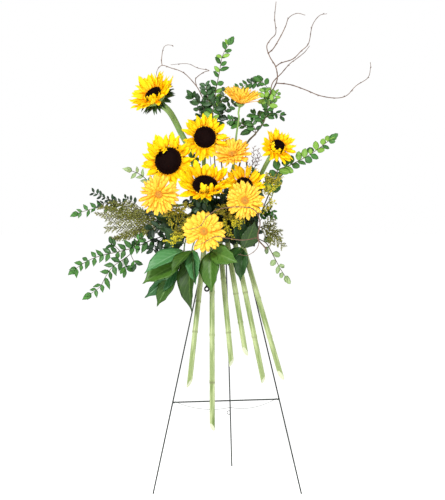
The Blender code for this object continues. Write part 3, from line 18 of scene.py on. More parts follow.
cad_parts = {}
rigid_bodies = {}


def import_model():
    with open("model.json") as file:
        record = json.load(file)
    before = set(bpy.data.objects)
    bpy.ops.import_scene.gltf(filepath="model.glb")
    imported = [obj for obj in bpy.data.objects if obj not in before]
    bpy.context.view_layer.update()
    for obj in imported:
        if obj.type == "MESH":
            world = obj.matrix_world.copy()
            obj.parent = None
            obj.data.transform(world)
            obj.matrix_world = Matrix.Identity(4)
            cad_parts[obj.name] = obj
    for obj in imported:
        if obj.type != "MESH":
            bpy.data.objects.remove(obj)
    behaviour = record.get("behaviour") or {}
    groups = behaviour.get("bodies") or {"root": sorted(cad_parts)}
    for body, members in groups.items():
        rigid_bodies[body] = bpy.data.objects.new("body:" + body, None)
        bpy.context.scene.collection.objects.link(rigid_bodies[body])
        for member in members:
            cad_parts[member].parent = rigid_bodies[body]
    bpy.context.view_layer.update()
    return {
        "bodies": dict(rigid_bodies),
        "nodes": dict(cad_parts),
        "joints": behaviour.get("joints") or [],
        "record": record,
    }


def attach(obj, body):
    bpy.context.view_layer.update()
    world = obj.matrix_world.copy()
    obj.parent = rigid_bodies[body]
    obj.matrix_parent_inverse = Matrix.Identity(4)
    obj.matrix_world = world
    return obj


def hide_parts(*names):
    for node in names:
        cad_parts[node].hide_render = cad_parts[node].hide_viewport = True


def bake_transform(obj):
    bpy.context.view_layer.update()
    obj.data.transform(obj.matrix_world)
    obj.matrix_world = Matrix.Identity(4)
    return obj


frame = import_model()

SCENE = bpy.context.scene
BODY, LEG_BODY = "arrangement", "rear_leg"

# %% [markdown]
# The camera stands straight in front, at the height of the blooms. It looks level and is shifted
# down, as a studio camera is, so that the legs of the easel stay straight. Its lens follows from
# the size of the picture and from how many picture points a metre takes at the distance of the
# easel.

# %% Camera
PICTURE_H = 500.0
CAMERA_PLACE = Vector((-0.010, -3.6, 0.80))
POINTS_PER_RADIAN = 1237.0
HORIZON_OVER_MIDDLE = 44.5
SENSOR = 36.0

camera_data = bpy.data.cameras.new("studio_camera")
camera_data.sensor_width = SENSOR
camera_data.lens = POINTS_PER_RADIAN * SENSOR / PICTURE_H
camera_data.shift_y = -HORIZON_OVER_MIDDLE / PICTURE_H
camera = bpy.data.objects.new("studio_camera", camera_data)
camera.location = CAMERA_PLACE
camera.rotation_euler = (math.pi / 2.0, 0.0, 0.0)
SCENE.collection.objects.link(camera)
SCENE.camera = camera
print("lens", round(camera_data.lens, 1), "mm")

# %% [markdown]
# The background is plain white with only a breath of shadow at the feet. The white sky is seen at
# full strength, but it lights the flowers at half of that, or their dark hearts would turn grey.
# One large soft lamp at the upper left gives the petals their form, and a weak one from the right
# keeps the other side open. The floor is pale and glows a little, so that it meets the sky unseen.

# %% Light and floor
WHITE = (1.0, 1.0, 1.0, 1.0)


def add_lamp(name, place, target, size, watts):
    lamp = bpy.data.lights.new(name, "AREA")
    lamp.shape = "DISK"
    lamp.size = size
    lamp.energy = watts
    thing = bpy.data.objects.new(name, lamp)
    thing.location = place
    thing.rotation_euler = (Vector(target) - Vector(place)).to_track_quat("-Z", "Y").to_euler()
    SCENE.collection.objects.link(thing)


MIDDLE = Vector((0.0, -0.05, 0.85))
KEY_WATTS, FILL_WATTS = 88.0, 24.0
SKY_LIGHT, SKY_SEEN = 0.52, 1.0
add_lamp("key_lamp", (-1.5, -2.6, 2.5), MIDDLE, 0.8, KEY_WATTS)
add_lamp("fill_lamp", (2.2, -2.4, 1.2), MIDDLE, 1.6, FILL_WATTS)

world = bpy.data.worlds.new("white_studio")
world.use_nodes = True
sky = world.node_tree.nodes["Background"]
sky.inputs["Color"].default_value = WHITE
path = world.node_tree.nodes.new("ShaderNodeLightPath")
strength = world.node_tree.nodes.new("ShaderNodeMapRange")
strength.inputs["To Min"].default_value = SKY_LIGHT
strength.inputs["To Max"].default_value = SKY_SEEN
world.node_tree.links.new(path.outputs["Is Camera Ray"], strength.inputs["Value"])
world.node_tree.links.new(strength.outputs["Result"], sky.inputs["Strength"])
SCENE.world = world
SCENE.view_settings.view_transform = "Standard"

# %% [markdown]
# Material maths reads best as plain sums. A small class wraps one socket of a node: adding,
# multiplying or comparing it adds the Math node that does the work. A second class holds one
# material and makes any other node in one call: its settings first, then the values or links of its
# sockets.


# %% Shader maths
class Value:
    """A socket that can be used in a sum."""

    def __init__(self, finish, socket):
        self.finish, self.socket = finish, socket

    def math(self, operation, *others):
        return self.finish.node("ShaderNodeMath", {"operation": operation}, [self, *others])

    def __add__(self, other):
        return self.math("ADD", other)

    def __mul__(self, other):
        return self.math("MULTIPLY", other)

    def __sub__(self, other):
        return self.math("SUBTRACT", other)

    def __rsub__(self, other):
        return self.finish.node("ShaderNodeMath", {"operation": "SUBTRACT"}, [other, self])

    def __gt__(self, other):
        return self.math("GREATER_THAN", other)

    __radd__ = __add__
    __rmul__ = __mul__

    def clamped(self):
        return self.finish.node("ShaderNodeClamp", {}, [self])

    def absolute(self):
        return self.math("ABSOLUTE")

    def sine(self):
        return self.math("SINE")


class Finish:
    """One material and its nodes."""

    def __init__(self, name, roughness=0.5, metallic=0.0, specular=0.5):
        self.material = bpy.data.materials.new(name)
        self.material.use_nodes = True
        self.tree = self.material.node_tree
        self.shader = self.tree.nodes["Principled BSDF"]
        self.set("Roughness", roughness)
        self.set("Metallic", metallic)
        self.set("Specular IOR Level", specular)

    def put(self, socket, value):
        if isinstance(value, Value):
            self.tree.links.new(value.socket, socket)
        elif isinstance(value, tuple) and len(value) == 3 and socket.type == "RGBA":
            socket.default_value = (*value, 1.0)
        else:
            socket.default_value = value

    def paint(self, colour, roughness):
        """The two looks that change over nearly every surface."""
        self.set("Base Color", colour)
        self.set("Roughness", roughness)

    def set(self, name, value):
        self.put(self.shader.inputs[name], value)

    def node(self, kind, settings, values, output=0):
        node = self.tree.nodes.new(kind)
        for name, setting in settings.items():
            if name == "stops":
                ramp = node.color_ramp
                while len(ramp.elements) < len(setting):
                    ramp.elements.new(0.5)
                for element, (place, colour) in zip(ramp.elements, setting):
                    element.position = place
                    element.color = (*colour, 1.0)
            else:
                setattr(node, name, setting)
        named = values.items() if isinstance(values, dict) else enumerate(values)
        for key, value in named:
            self.put(node.inputs[key], value)
        return Value(self, node.outputs[output])

    def mix(self, share, first, second):
        sockets = {0: share, 6: first, 7: second}
        return self.node("ShaderNodeMix", {"data_type": "RGBA"}, sockets, 2)

    def ramp(self, share, stops):
        return self.node("ShaderNodeValToRGB", {"stops": stops}, [share])

    def attribute(self, name):
        return self.node("ShaderNodeAttribute", {"attribute_name": name}, [], 2)

    def place(self):
        return self.node("ShaderNodeTexCoord", {}, [], 3)

    def noise(self, scale, detail=3.0, vector=None):
        values = {"Scale": scale, "Detail": detail, "Vector": vector or self.place()}
        return self.node("ShaderNodeTexNoise", {}, values)

    def vector(self, x, y, z):
        return self.node("ShaderNodeCombineXYZ", {}, [x, y, z])

    def bump(self, height, strength, distance):
        values = {"Height": height, "Strength": strength, "Distance": distance}
        self.set("Normal", self.node("ShaderNodeBump", {}, values))


print("shader maths ready")

# %% [markdown]
# A petal is brightest along its length in fine streaks, and warmer near the disc. Each blade
# carries three numbers for its material: how far along it a point lies, how far across it, and a
# tone that is drawn once for the whole blade. Light comes through a real petal from behind. A
# little subsurface scattering and a faint glow of the petal's own colour stand for that.


# %% Petal and leaf finishes
def streaks(finish, count):
    """Fine lines along a blade, from its own across and along numbers."""
    across, along = finish.attribute("across") * count, finish.attribute("along") * 1.4
    return finish.noise(1.0, 2.0, finish.vector(across, along, finish.attribute("tone") * 37.0))


def petal_finish(name, root, body, tip, count, depth, glow, contrast=0.20):
    finish = Finish(name, 0.48, specular=0.2)
    along, tone = finish.attribute("along"), finish.attribute("tone")
    lines = streaks(finish, count)
    colour = finish.ramp(along + (lines - 0.5) * 0.22 - tone * 0.10,
                         ((0.02, root), (0.30, body), (0.95, tip)))
    shade = finish.mix((tone * 0.16 + lines * contrast).clamped(), colour, root)
    petal = finish.mix(((lines - 0.40) * 1.6).clamped(), shade, colour)
    finish.set("Base Color", petal)
    finish.set("Emission Color", petal)
    finish.set("Emission Strength", glow)
    finish.set("Roughness", 0.44 + lines * 0.2)
    finish.set("Subsurface Weight", 0.12)
    finish.set("Subsurface Radius", (0.004, 0.002, 0.0006))
    finish.set("Subsurface Scale", 0.6)
    finish.bump(lines, 0.5, depth)
    return finish.material


def leaf_finish(name, dark, bright, vein, glossy, side_veins):
    """Leaves: darker and brighter by leaf, a pale midrib, and side veins that run to the edge."""
    finish = Finish(name, glossy, specular=0.36)
    along, across, tone = (finish.attribute(n) for n in ("along", "across", "tone"))
    cloud = finish.noise(130.0, 3.0)
    body = finish.mix((tone * 0.9 + cloud * 0.5 - 0.2).clamped(), dark, bright)
    rib = 1.0 - (across.absolute() * 9.0).clamped()
    lines = ((along * side_veins - across.absolute() * side_veins * 0.35) * math.tau).sine()
    veins = ((lines - 0.86) * 7.0).clamped() * 0.35 + rib * 0.75
    finish.paint(finish.mix(veins.clamped(), body, vein), glossy + cloud * 0.16)
    finish.bump(veins * 0.5 + cloud * 0.3, 0.35, 0.0006)
    return finish.material


RAY_YELLOW = petal_finish("sunflower_ray", (0.90, 0.36, 0.0), (1.0, 0.62, 0.0), (1.0, 0.72, 0.006),
                          9.0, 0.0004, 0.16)
GERBERA_GOLD = petal_finish("gerbera_ray", (0.90, 0.37, 0.020), (1.0, 0.57, 0.035),
                            (1.0, 0.68, 0.08), 6.0, 0.0003, 0.14, 0.34)
LEAF_GREEN = leaf_finish("huckleberry_leaf", (0.006, 0.026, 0.009), (0.060, 0.210, 0.030),
                         (0.12, 0.30, 0.07), 0.32, 4.0)
CROWN_GREEN = leaf_finish("crown_leaf", (0.003, 0.013, 0.006), (0.040, 0.125, 0.028),
                          (0.08, 0.19, 0.06), 0.30, 4.0)
YOUNG_GREEN = leaf_finish("young_leaf", (0.07, 0.20, 0.02), (0.24, 0.46, 0.05), (0.34, 0.52, 0.14),
                          0.42, 4.0)
PALE_GREEN = leaf_finish("pale_leaf", (0.10, 0.22, 0.06), (0.32, 0.44, 0.18), (0.56, 0.64, 0.42),
                         0.50, 4.0)
# Painted shade: a near-black copy of the leaf green, for filler leaves that lie in the shade of the
# bunch.
SHADE_GREEN = leaf_finish("shade_leaf", (0.002, 0.008, 0.003), (0.012, 0.050, 0.012),
                          (0.03, 0.08, 0.03), 0.36, 4.0)
SALAL_GREEN = leaf_finish("salal_leaf", (0.024, 0.075, 0.006), (0.075, 0.190, 0.016),
                          (0.13, 0.26, 0.05), 0.36, 7.0)
SALAL_BLUE = leaf_finish("salal_leaf_blue", (0.020, 0.100, 0.024), (0.075, 0.250, 0.075),
                         (0.22, 0.44, 0.22), 0.34, 7.0)
SALAL_OLIVE = leaf_finish("salal_leaf_olive", (0.014, 0.042, 0.004), (0.045, 0.115, 0.010),
                          (0.09, 0.17, 0.03), 0.34, 7.0)
# Painted shade: a dark copy of the salal green, for leaves that sit in the shade of the bunch.
SALAL_SHADED = leaf_finish("salal_leaf_dark", (0.006, 0.024, 0.005), (0.022, 0.080, 0.014),
                         (0.05, 0.12, 0.03), 0.34, 7.0)
BRACT_GREEN = leaf_finish("bract", (0.010, 0.035, 0.008), (0.050, 0.130, 0.024), (0.10, 0.20, 0.05),
                          0.55, 3.0)
print("petal and leaf finishes ready")

# %% [markdown]
# Stalks, twigs and bark share one recipe: two greens or browns that change along the stem in long
# thin streaks, a few specks, and a fine bump. Only the colours and the amount of each differ. The
# length of a stem is one of its own numbers too, so the streaks follow every bend.


# %% Stem, wire and foam finishes
def stem_finish(name, dark, bright, speck, roughness, streak_count=5.0, depth=0.0004):
    finish = Finish(name, roughness)
    round_it = finish.attribute("round") * streak_count
    long_lines = finish.noise(1.0, 3.0, finish.vector(round_it, finish.attribute("metres") * 14.0,
                                                      finish.attribute("tone") * 20.0))
    specks = (finish.noise(900.0, 2.0) > 0.66) * 0.5
    colour = finish.mix(((long_lines - 0.3) * 2.2).clamped(), dark, bright)
    knot = finish.attribute("knot").clamped()
    finish.paint(finish.mix((specks + knot * 0.8).clamped(), colour, speck),
                 roughness + long_lines * 0.15)
    finish.bump(long_lines + specks * 0.5, 0.5, depth)
    return finish.material


def wire_finish(name, colour, worn, roughness, metallic):
    finish = Finish(name, roughness, metallic)
    cloud = finish.noise(160.0, 4.0)
    wear = ((finish.noise(900.0, 4.0) - 0.60) * 6.0).clamped() * 0.45
    finish.paint(finish.mix(wear, colour, worn), roughness + cloud * 0.2)
    finish.bump(cloud + wear, 0.3, 0.0002)
    return finish.material


def foam_finish(name):
    """Floral foam: a fine open grain with darker pores, matte and wet. Its very dark green is partly
    the wet foam and partly painted shade from the bunch above it.
    """
    finish = Finish(name, 0.85, specular=0.15)
    pores = finish.node("ShaderNodeTexVoronoi", {"feature": "F1"},
                        {"Scale": 900.0, "Vector": finish.place()})
    cloud = finish.noise(60.0, 4.0)
    grain = (pores * 0.7 + cloud * 0.4).clamped()
    # Painted shade in part: the foam's green is set very dark, for the wet foam and for the shade
    # inside the bunch.
    finish.paint(finish.mix(grain, (0.004, 0.016, 0.006), (0.014, 0.050, 0.018)),
                 0.75 + cloud * 0.2)
    finish.bump(pores, 0.8, 0.0008)
    return finish.material


STALK_GREEN = stem_finish("flower_stalk", (0.13, 0.25, 0.045), (0.33, 0.50, 0.13),
                          (0.36, 0.48, 0.20), 0.45)
CUT_GREEN = stem_finish("cut_stalk", (0.13, 0.21, 0.04), (0.60, 0.68, 0.34), (0.14, 0.14, 0.06),
                        0.34, 7.0)
TWIG_BROWN = stem_finish("huckleberry_twig", (0.05, 0.040, 0.02), (0.14, 0.12, 0.05),
                         (0.10, 0.05, 0.04), 0.6)
BARK = stem_finish("willow_bark", (0.09, 0.042, 0.022), (0.27, 0.16, 0.10), (0.05, 0.03, 0.02), 0.6)
OLIVE_TWIG = stem_finish("plume_twig", (0.08, 0.07, 0.03), (0.16, 0.17, 0.06), (0.10, 0.06, 0.04),
                         0.7)
MIST_TWIG = stem_finish("mist_twig", (0.10, 0.055, 0.050), (0.20, 0.12, 0.11), (0.30, 0.20, 0.20),
                        0.7)
SALAL_STALK = stem_finish("salal_stalk", (0.10, 0.16, 0.04), (0.24, 0.34, 0.10), (0.18, 0.10, 0.05),
                          0.5)
EASEL_ENAMEL = wire_finish("easel_enamel", (0.016, 0.024, 0.018), (0.09, 0.10, 0.08), 0.34, 0.35)
STAY_STEEL = wire_finish("stay_steel", (0.42, 0.44, 0.42), (0.20, 0.20, 0.19), 0.36, 0.9)
TRAY_PLASTIC = wire_finish("tray_plastic", (0.006, 0.010, 0.007), (0.03, 0.04, 0.03), 0.42, 0.0)
FOAM_IN_SHADE = foam_finish("wet_foam")
print("stem, wire and foam finishes ready")

# %% [markdown]
# The floor needs its own plain finish. It is pale and gives off a little light, as paper does under
# a studio lamp, so only the faintest shadow of the easel is left on it.

# %% Floor
floor_paper = Finish("floor_paper", 0.9, specular=0.0)
floor_paper.set("Base Color", (0.9, 0.9, 0.9))
floor_paper.set("Emission Color", WHITE)
floor_paper.set("Emission Strength", 0.55)
FLOOR_HALF = 30.0
floor_sheet = bmesh.new()
bmesh.ops.create_grid(floor_sheet, x_segments=1, y_segments=1, size=FLOOR_HALF)
floor_mesh = bpy.data.meshes.new("floor")
floor_sheet.to_mesh(floor_mesh)
floor_sheet.free()
floor_mesh.materials.append(floor_paper.material)
floor = bpy.data.objects.new("floor", floor_mesh)
SCENE.collection.objects.link(floor)

# %% [markdown]
# Stems bend smoothly, so each is given only a few points of its route, and a Catmull-Rom curve is
# run through them. The same short rule reads places at an even spacing along a twig, which is where
# its leaves leave it. The holder leans back with the easel, so the holes of its foam have a leaning
# frame. The tables give places and sizes in millimetres, and one short function turns them into
# metres.


# %% Routes and frames
LENGTHS = ("centre", "hole", "route", "side", "reach", "disc", "stem", "neck", "leaf", "spacing",
           "radius")


def in_metres(value):
    """A length, a point or a list of them, which a table gives in millimetres."""
    if isinstance(value, str):
        return value
    if isinstance(value, (int, float)):
        return value / 1000.0
    return [in_metres(part) for part in value]


def table_in_metres(table):
    return {name: {key: in_metres(value) if key in LENGTHS else value
                   for key, value in spec.items()} for name, spec in table.items()}


def smooth_path(points, per_span=6):
    """A Catmull-Rom curve through the points, read at an even share of each span."""
    points = [Vector(p) for p in points]
    ends = [points[0] * 2.0 - points[1], *points, points[-1] * 2.0 - points[-2]]
    path = []
    for i in range(len(points) - 1):
        a, b, c, d = ends[i:i + 4]
        for step in range(per_span):
            t = step / per_span
            path.append(0.5 * (2.0 * b + (c - a) * t + (2.0 * a - 5.0 * b + 4.0 * c - d) * t ** 2
                               + (3.0 * b - a - 3.0 * c + d) * t ** 3))
    return path + [points[-1].copy()]


def sites_along(points, start, spacing):
    """Places, directions and shares of the length at an even spacing along a smooth path."""
    path = smooth_path(points, 8)
    lengths = [0.0]
    for a, b in zip(path, path[1:]):
        lengths.append(lengths[-1] + (b - a).length)
    sites, at = [], lengths[-1] * start
    while at < lengths[-1]:
        i = next(k for k in range(1, len(lengths)) if lengths[k] >= at)
        share = (at - lengths[i - 1]) / (lengths[i] - lengths[i - 1])
        sites.append((path[i - 1].lerp(path[i], share), (path[i] - path[i - 1]).normalized(),
                      at / lengths[-1]))
        at += spacing
    return sites, path[-1], (path[-1] - path[-2]).normalized()


def turned_frame(root, along, upper):
    """A matrix at the root with +Y along the blade and +Z on its upper side."""
    y_axis = along.normalized()
    x_axis = y_axis.cross(upper).normalized()
    turn = Matrix((x_axis, y_axis, x_axis.cross(y_axis))).transposed().to_4x4()
    return Matrix.Translation(root) @ turn


def spoke(angle):
    """The way out from the middle of a bloom."""
    return Vector((math.cos(angle), math.sin(angle), 0.0))


def tangent(angle):
    """The way round the middle of a bloom."""
    return Vector((-math.sin(angle), math.cos(angle), 0.0))


def any_way(rng, least=-1.0, most=1.0):
    return Vector([rng.uniform(least, most) for _ in range(3)])


def upright(spot, way):
    """A matrix at the spot with +Z along the way."""
    return Matrix.Translation(spot) @ way.to_track_quat("Z", "Y").to_matrix().to_4x4()


def bloom_frame(centre, facing):
    return upright(centre, Vector(facing).normalized())


WIRE_R = 0.0019
APEX = Vector((-0.0056, 0.0, 0.872))
LEAN = math.atan2(0.170, 0.872)
FOAM = Vector((0.190, 0.078, 0.108))
FIT, TRAY_WALL = 0.0003, 0.0022
FOAM_BACK = -(WIRE_R + FIT) - TRAY_WALL - FIT
FOAM_FRONT = FOAM_BACK - FOAM.y
HOLDER_DROP = Vector((0.0, 0.0, -0.125))
HOLDER_ROLL = math.radians(8.0)
HOLDER = (Matrix.Translation(APEX) @ Matrix.Rotation(-LEAN, 4, "X")
          @ Matrix.Translation(HOLDER_DROP) @ Matrix.Rotation(HOLDER_ROLL, 4, "Y"))
MOUTH_GAP = 0.006
FACES = {
    "top": (lambda a, b: Vector((a, b, FOAM.z / 2.0)), Vector((0.0, 0.0, 1.0))),
    "bottom": (lambda a, b: Vector((a, b, -FOAM.z / 2.0)), Vector((0.0, 0.0, -1.0))),
    "front": (lambda a, b: Vector((a, FOAM_FRONT, b)), Vector((0.0, -1.0, 0.0))),
    "left": (lambda a, b: Vector((-FOAM.x / 2.0, a, b)), Vector((-1.0, 0.0, 0.0))),
    "right": (lambda a, b: Vector((FOAM.x / 2.0, a, b)), Vector((1.0, 0.0, 0.0))),
}


def hole_points(hole):
    """The bottom of a stem's hole and a point just outside its mouth."""
    face, a, b, depth = hole
    place, normal = FACES[face]
    mouth = place(a, b)
    return HOLDER @ (mouth - normal * depth), HOLDER @ (mouth + normal * MOUTH_GAP)


def rooted_route(hole, route):
    """The whole path of a stem: straight into the foam, and smooth from its mouth on."""
    bottom, mouth = hole_points(hole)
    return [bottom] + smooth_path([mouth, *route])


print("holder leans back by", round(math.degrees(LEAN), 1), "degrees")

# %% [markdown]
# Two Geometry Nodes trees grow nearly everything here. The first runs a round skin along every line
# of a mesh: it is the stems, twigs and wires. The second puts a blade, drawn at random from a few
# shapes, on every site of a mesh: it is the petals, leaves, needles and florets. A small class adds
# nodes to a tree, and one function runs a tree and keeps its result as a plain mesh.


# %% The two growth trees
class Growth:
    """A Geometry Nodes tree with named inputs."""

    def __init__(self, name, inputs):
        self.group = bpy.data.node_groups.new(name, "GeometryNodeTree")
        sockets = self.group.interface
        sockets.new_socket("Geometry", in_out="INPUT", socket_type="NodeSocketGeometry")
        for label, kind in inputs.items():
            sockets.new_socket(label, in_out="INPUT", socket_type="NodeSocket" + kind)
        sockets.new_socket("Geometry", in_out="OUTPUT", socket_type="NodeSocketGeometry")
        self.inputs = self.group.nodes.new("NodeGroupInput").outputs
        self.end = self.group.nodes.new("NodeGroupOutput").inputs

    def node(self, kind, settings, values, output=0):
        node = self.group.nodes.new(kind)
        for name, setting in settings.items():
            setattr(node, name, setting)
        for key, value in values.items():
            if isinstance(value, bpy.types.NodeSocket):
                self.group.links.new(value, node.inputs[key])
            else:
                node.inputs[key].default_value = value
        return node.outputs[output]

    def attribute(self, name, kind="FLOAT"):
        return self.node("GeometryNodeInputNamedAttribute", {"data_type": kind}, {"Name": name})

    def store(self, geometry, name, value):
        values = {"Geometry": geometry, "Name": name, "Value": value}
        return self.node("GeometryNodeStoreNamedAttribute",
                         {"data_type": "FLOAT", "domain": "POINT"}, values)

    def finish(self, geometry):
        realized = self.node("GeometryNodeRealizeInstances", {}, {"Geometry": geometry})
        smooth = self.node("GeometryNodeSetShadeSmooth", {}, {"Geometry": realized})
        values = {"Geometry": smooth, "Material": self.inputs["Finish"]}
        done = self.node("GeometryNodeSetMaterial", {}, values)
        self.group.links.new(done, self.end["Geometry"])


def skin_tree():
    """A round skin along every line, as thick as each point says."""
    tree = Growth("skin_along_lines", {"Sides": "Int", "Finish": "Material"})
    lines = tree.node("GeometryNodeMeshToCurve", {}, {"Mesh": tree.inputs["Geometry"]})
    metres = tree.node("GeometryNodeSplineParameter", {}, {}, 1)
    lines = tree.store(lines, "metres", metres)
    ring = tree.node("GeometryNodeCurvePrimitiveCircle", {},
                     {"Resolution": tree.inputs["Sides"], "Radius": 1.0})
    turn = tree.node("GeometryNodeSplineParameter", {}, {})
    wave = tree.node("ShaderNodeMath", {"operation": "PINGPONG"}, {0: turn, 1: 0.5})
    ring = tree.store(ring, "round", wave)
    values = {"Curve": lines, "Profile Curve": ring, "Scale": tree.attribute("thick"),
              "Fill Caps": True}
    tree.finish(tree.node("GeometryNodeCurveToMesh", {}, values))
    return tree


def blade_tree():
    """One blade on every site, turned and sized as the site says, drawn at random with a seed."""
    tree = Growth("blades_on_sites", {"Shapes": "Collection", "Shape Count": "Int", "Seed": "Int",
                                      "Finish": "Material"})
    values = {"Collection": tree.inputs["Shapes"], "Separate Children": True,
              "Reset Children": True}
    shapes = tree.node("GeometryNodeCollectionInfo", {}, values)
    last = tree.node("ShaderNodeMath", {"operation": "SUBTRACT"},
                     {0: tree.inputs["Shape Count"], 1: 1.0})
    draw = tree.node("FunctionNodeRandomValue", {"data_type": "INT"},
                     {4: 0, 5: last, 8: tree.inputs["Seed"]}, 2)
    turn = tree.node("FunctionNodeEulerToRotation", {}, {0: tree.attribute("turn", "FLOAT_VECTOR")})
    values = {"Points": tree.inputs["Geometry"], "Instance": shapes, "Pick Instance": True,
              "Instance Index": draw, "Rotation": turn,
              "Scale": tree.attribute("size", "FLOAT_VECTOR")}
    tree.finish(tree.node("GeometryNodeInstanceOnPoints", {}, values))
    return tree


def run_tree(tree, host, values):
    """The result of a tree on a mesh, as a plain mesh."""
    thing = bpy.data.objects.new("host", host)
    SCENE.collection.objects.link(thing)
    modifier = thing.modifiers.new("grow", "NODES")
    modifier.node_group = tree.group
    for socket in tree.group.interface.items_tree:
        if socket.in_out == "INPUT" and socket.name in values:
            modifier[socket.identifier] = values[socket.name]
    bpy.context.view_layer.update()
    depsgraph = bpy.context.evaluated_depsgraph_get()
    mesh = bpy.data.meshes.new_from_object(thing.evaluated_get(depsgraph))
    bpy.data.objects.remove(thing, do_unlink=True)
    return mesh


SKIN_TREE = skin_tree()
BLADE_TREE = blade_tree()
print("trees:", SKIN_TREE.group.name, BLADE_TREE.group.name)

# %% [markdown]
# The trees read a plain mesh that holds only what a plant knows about itself: for a line, how thick
# it is at each point and whether a knot sits there, and for a site, how its blade is turned and how
# large it is.


# %% Lines, sites and finished pieces
def add_numbers(mesh, name, numbers):
    layer = mesh.attributes.new(name, "FLOAT", "POINT")
    layer.data.foreach_set("value", numbers)


def skinned(lines, finish, sides=8):
    """Skin for lines: each is a path with a radius for every point, and maybe a knot number too."""
    points, edges, thick, knots, tones = [], [], [], [], []
    rng = random.Random(len(lines))
    for line in lines:
        path, radii = line[0], line[1]
        knot = line[2] if len(line) > 2 else [0.0] * len(path)
        first = len(points)
        points += [tuple(p) for p in path]
        edges += [(first + i, first + i + 1) for i in range(len(path) - 1)]
        thick += radii
        knots += knot
        tones += [rng.random()] * len(path)
    host = bpy.data.meshes.new("lines")
    host.from_pydata(points, edges, [])
    for name, numbers in (("thick", thick), ("knot", knots), ("tone", tones)):
        add_numbers(host, name, numbers)
    return run_tree(SKIN_TREE, host, {"Sides": sides, "Finish": finish})


def bladed(sites, shapes, finish, seed=1):
    """Blades on sites: each is a frame, a size in three directions and a tone."""
    host = bpy.data.meshes.new("sites")
    host.from_pydata([tuple(frame.translation) for frame, _, _ in sites], [], [])
    turns = host.attributes.new("turn", "FLOAT_VECTOR", "POINT")
    sizes = host.attributes.new("size", "FLOAT_VECTOR", "POINT")
    turns.data.foreach_set("vector", [c for frame, _, _ in sites for c in frame.to_euler()])
    sizes.data.foreach_set("vector", [c for _, size, _ in sites for c in size])
    add_numbers(host, "tone", [tone for _, _, tone in sites])
    return run_tree(BLADE_TREE, host, {"Shapes": shapes, "Shape Count": len(shapes.objects),
                                       "Seed": seed, "Finish": finish})


def tapered(path, radius, end_radius):
    last = len(path) - 1
    return path, [radius + (end_radius - radius) * i / last for i in range(last + 1)]


def make_all(what, table, make):
    print(f"{what}:", [make(name, spec) for name, spec in table.items()])


MADE = []


def finished(name, meshes, nodes, body=BODY):
    """Join the meshes into one piece of the object, which stands for its CAD nodes."""
    things = []
    for mesh in meshes:
        thing = bpy.data.objects.new(name, mesh)
        SCENE.collection.objects.link(thing)
        things.append(thing)
    piece = things[0]
    if len(things) > 1:
        with bpy.context.temp_override(active_object=piece, object=piece, selected_objects=things,
                                       selected_editable_objects=things):
            bpy.ops.object.join()
    for layer in ("turn", "size", "thick"):
        if layer in piece.data.attributes:
            piece.data.attributes.remove(piece.data.attributes[layer])
    if nodes:
        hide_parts(*nodes)
    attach(piece, body)
    MADE.append(piece)
    return piece


print("ready to grow")

# %% [markdown]
# A blade is a unit leaf that grows along +Y. Two sheets share one rim and part towards the midrib,
# so it is thin at the edge and closed all round. Its outline, its bend and its pleats are three
# short rules, and a few seeded shapes of each kind keep neighbours from looking alike.


# %% Blade shapes
def blade_mesh(name, rows, columns, half_width, height, thickness, sway=0.0):
    """A closed unit blade. half_width(t) is its edge, height(t, c) its form, with c from -1 to 1.
    Its tip may sway to one side."""
    points, along, across = [], [], []
    top, under = [], []

    def put(x, y, z, t, c):
        points.append((x, y, z))
        along.append(t)
        across.append(c)
        return len(points) - 1

    for row in range(rows + 1):
        t = row / rows
        half = half_width(t)
        top_row, under_row = [], []
        for column in range(columns + 1):
            c = 2.0 * column / columns - 1.0
            if half < 0.004:
                index = put(sway * t * t, t, height(t, 0.0), t, 0.0) if column == 0 else top_row[0]
                top_row.append(index)
                under_row.append(index)
                continue
            index = put(c * half + sway * t * t, t, height(t, c), t, c)
            top_row.append(index)
            if row in (0, rows) or column in (0, columns):
                under_row.append(index)
            else:
                under_row.append(put(c * half + sway * t * t, t, height(t, c) - thickness, t, c))
        top.append(top_row)
        under.append(under_row)
    faces = []
    for row in range(rows):
        for column in range(columns):
            cell = ((row, column), (row, column + 1), (row + 1, column + 1), (row + 1, column))
            for sheet, order in ((top, 1), (under, -1)):
                corners = []
                for r, c in cell[::order]:
                    if sheet[r][c] not in corners:
                        corners.append(sheet[r][c])
                if len(corners) > 2:
                    faces.append(corners)
    mesh = bpy.data.meshes.new(name)
    mesh.from_pydata(points, [], faces)
    add_numbers(mesh, "along", along)
    add_numbers(mesh, "across", across)
    return mesh


def shape_group(name, meshes):
    group = bpy.data.collections.new(name)
    for mesh in meshes:
        group.objects.link(bpy.data.objects.new(mesh.name, mesh))
    return group


def outline(stops):
    """A half width that runs smoothly through a few (place, width) stops."""
    def half(t):
        for (a, low), (b, high) in zip(stops, stops[1:]):
            if t <= b:
                share = (t - a) / (b - a)
                return low + (high - low) * share * share * (3.0 - 2.0 * share)
        return stops[-1][1]
    return half


def bent(bend, pleat, waves, cup, seed):
    """The height of a blade: an arc, pleats along it, a waving edge and a cup across it."""
    rng = random.Random(seed)
    phase, twist = rng.uniform(0.0, 6.0), rng.uniform(-0.05, 0.05)

    def height(t, c):
        arc = bend * t * t
        ribs = pleat * math.cos(c * math.pi * 2.0) * math.sin(math.pi * min(1.0, t * 1.1 + 0.05))
        edge = waves * c * c * math.sin(t * 9.0 + phase + (1.5 if c > 0 else 0.0))
        return arc + ribs + edge + cup * c * c * (1.0 - 0.4 * t) + twist * c * t
    return height


def bent_shapes(group, name, edges, size, pleat, waves, thickness, seed, bends):
    """Shapes of one kind. Each has its own bend along it, cup across it and sway to one side."""
    rows, columns = size
    return shape_group(group, [
        blade_mesh(f"{name}_{i}", rows, columns, edges[i % len(edges)],
                   bent(bend, pleat, waves, cup, i + seed), thickness, sway)
        for i, (bend, cup, sway) in enumerate(bends)])


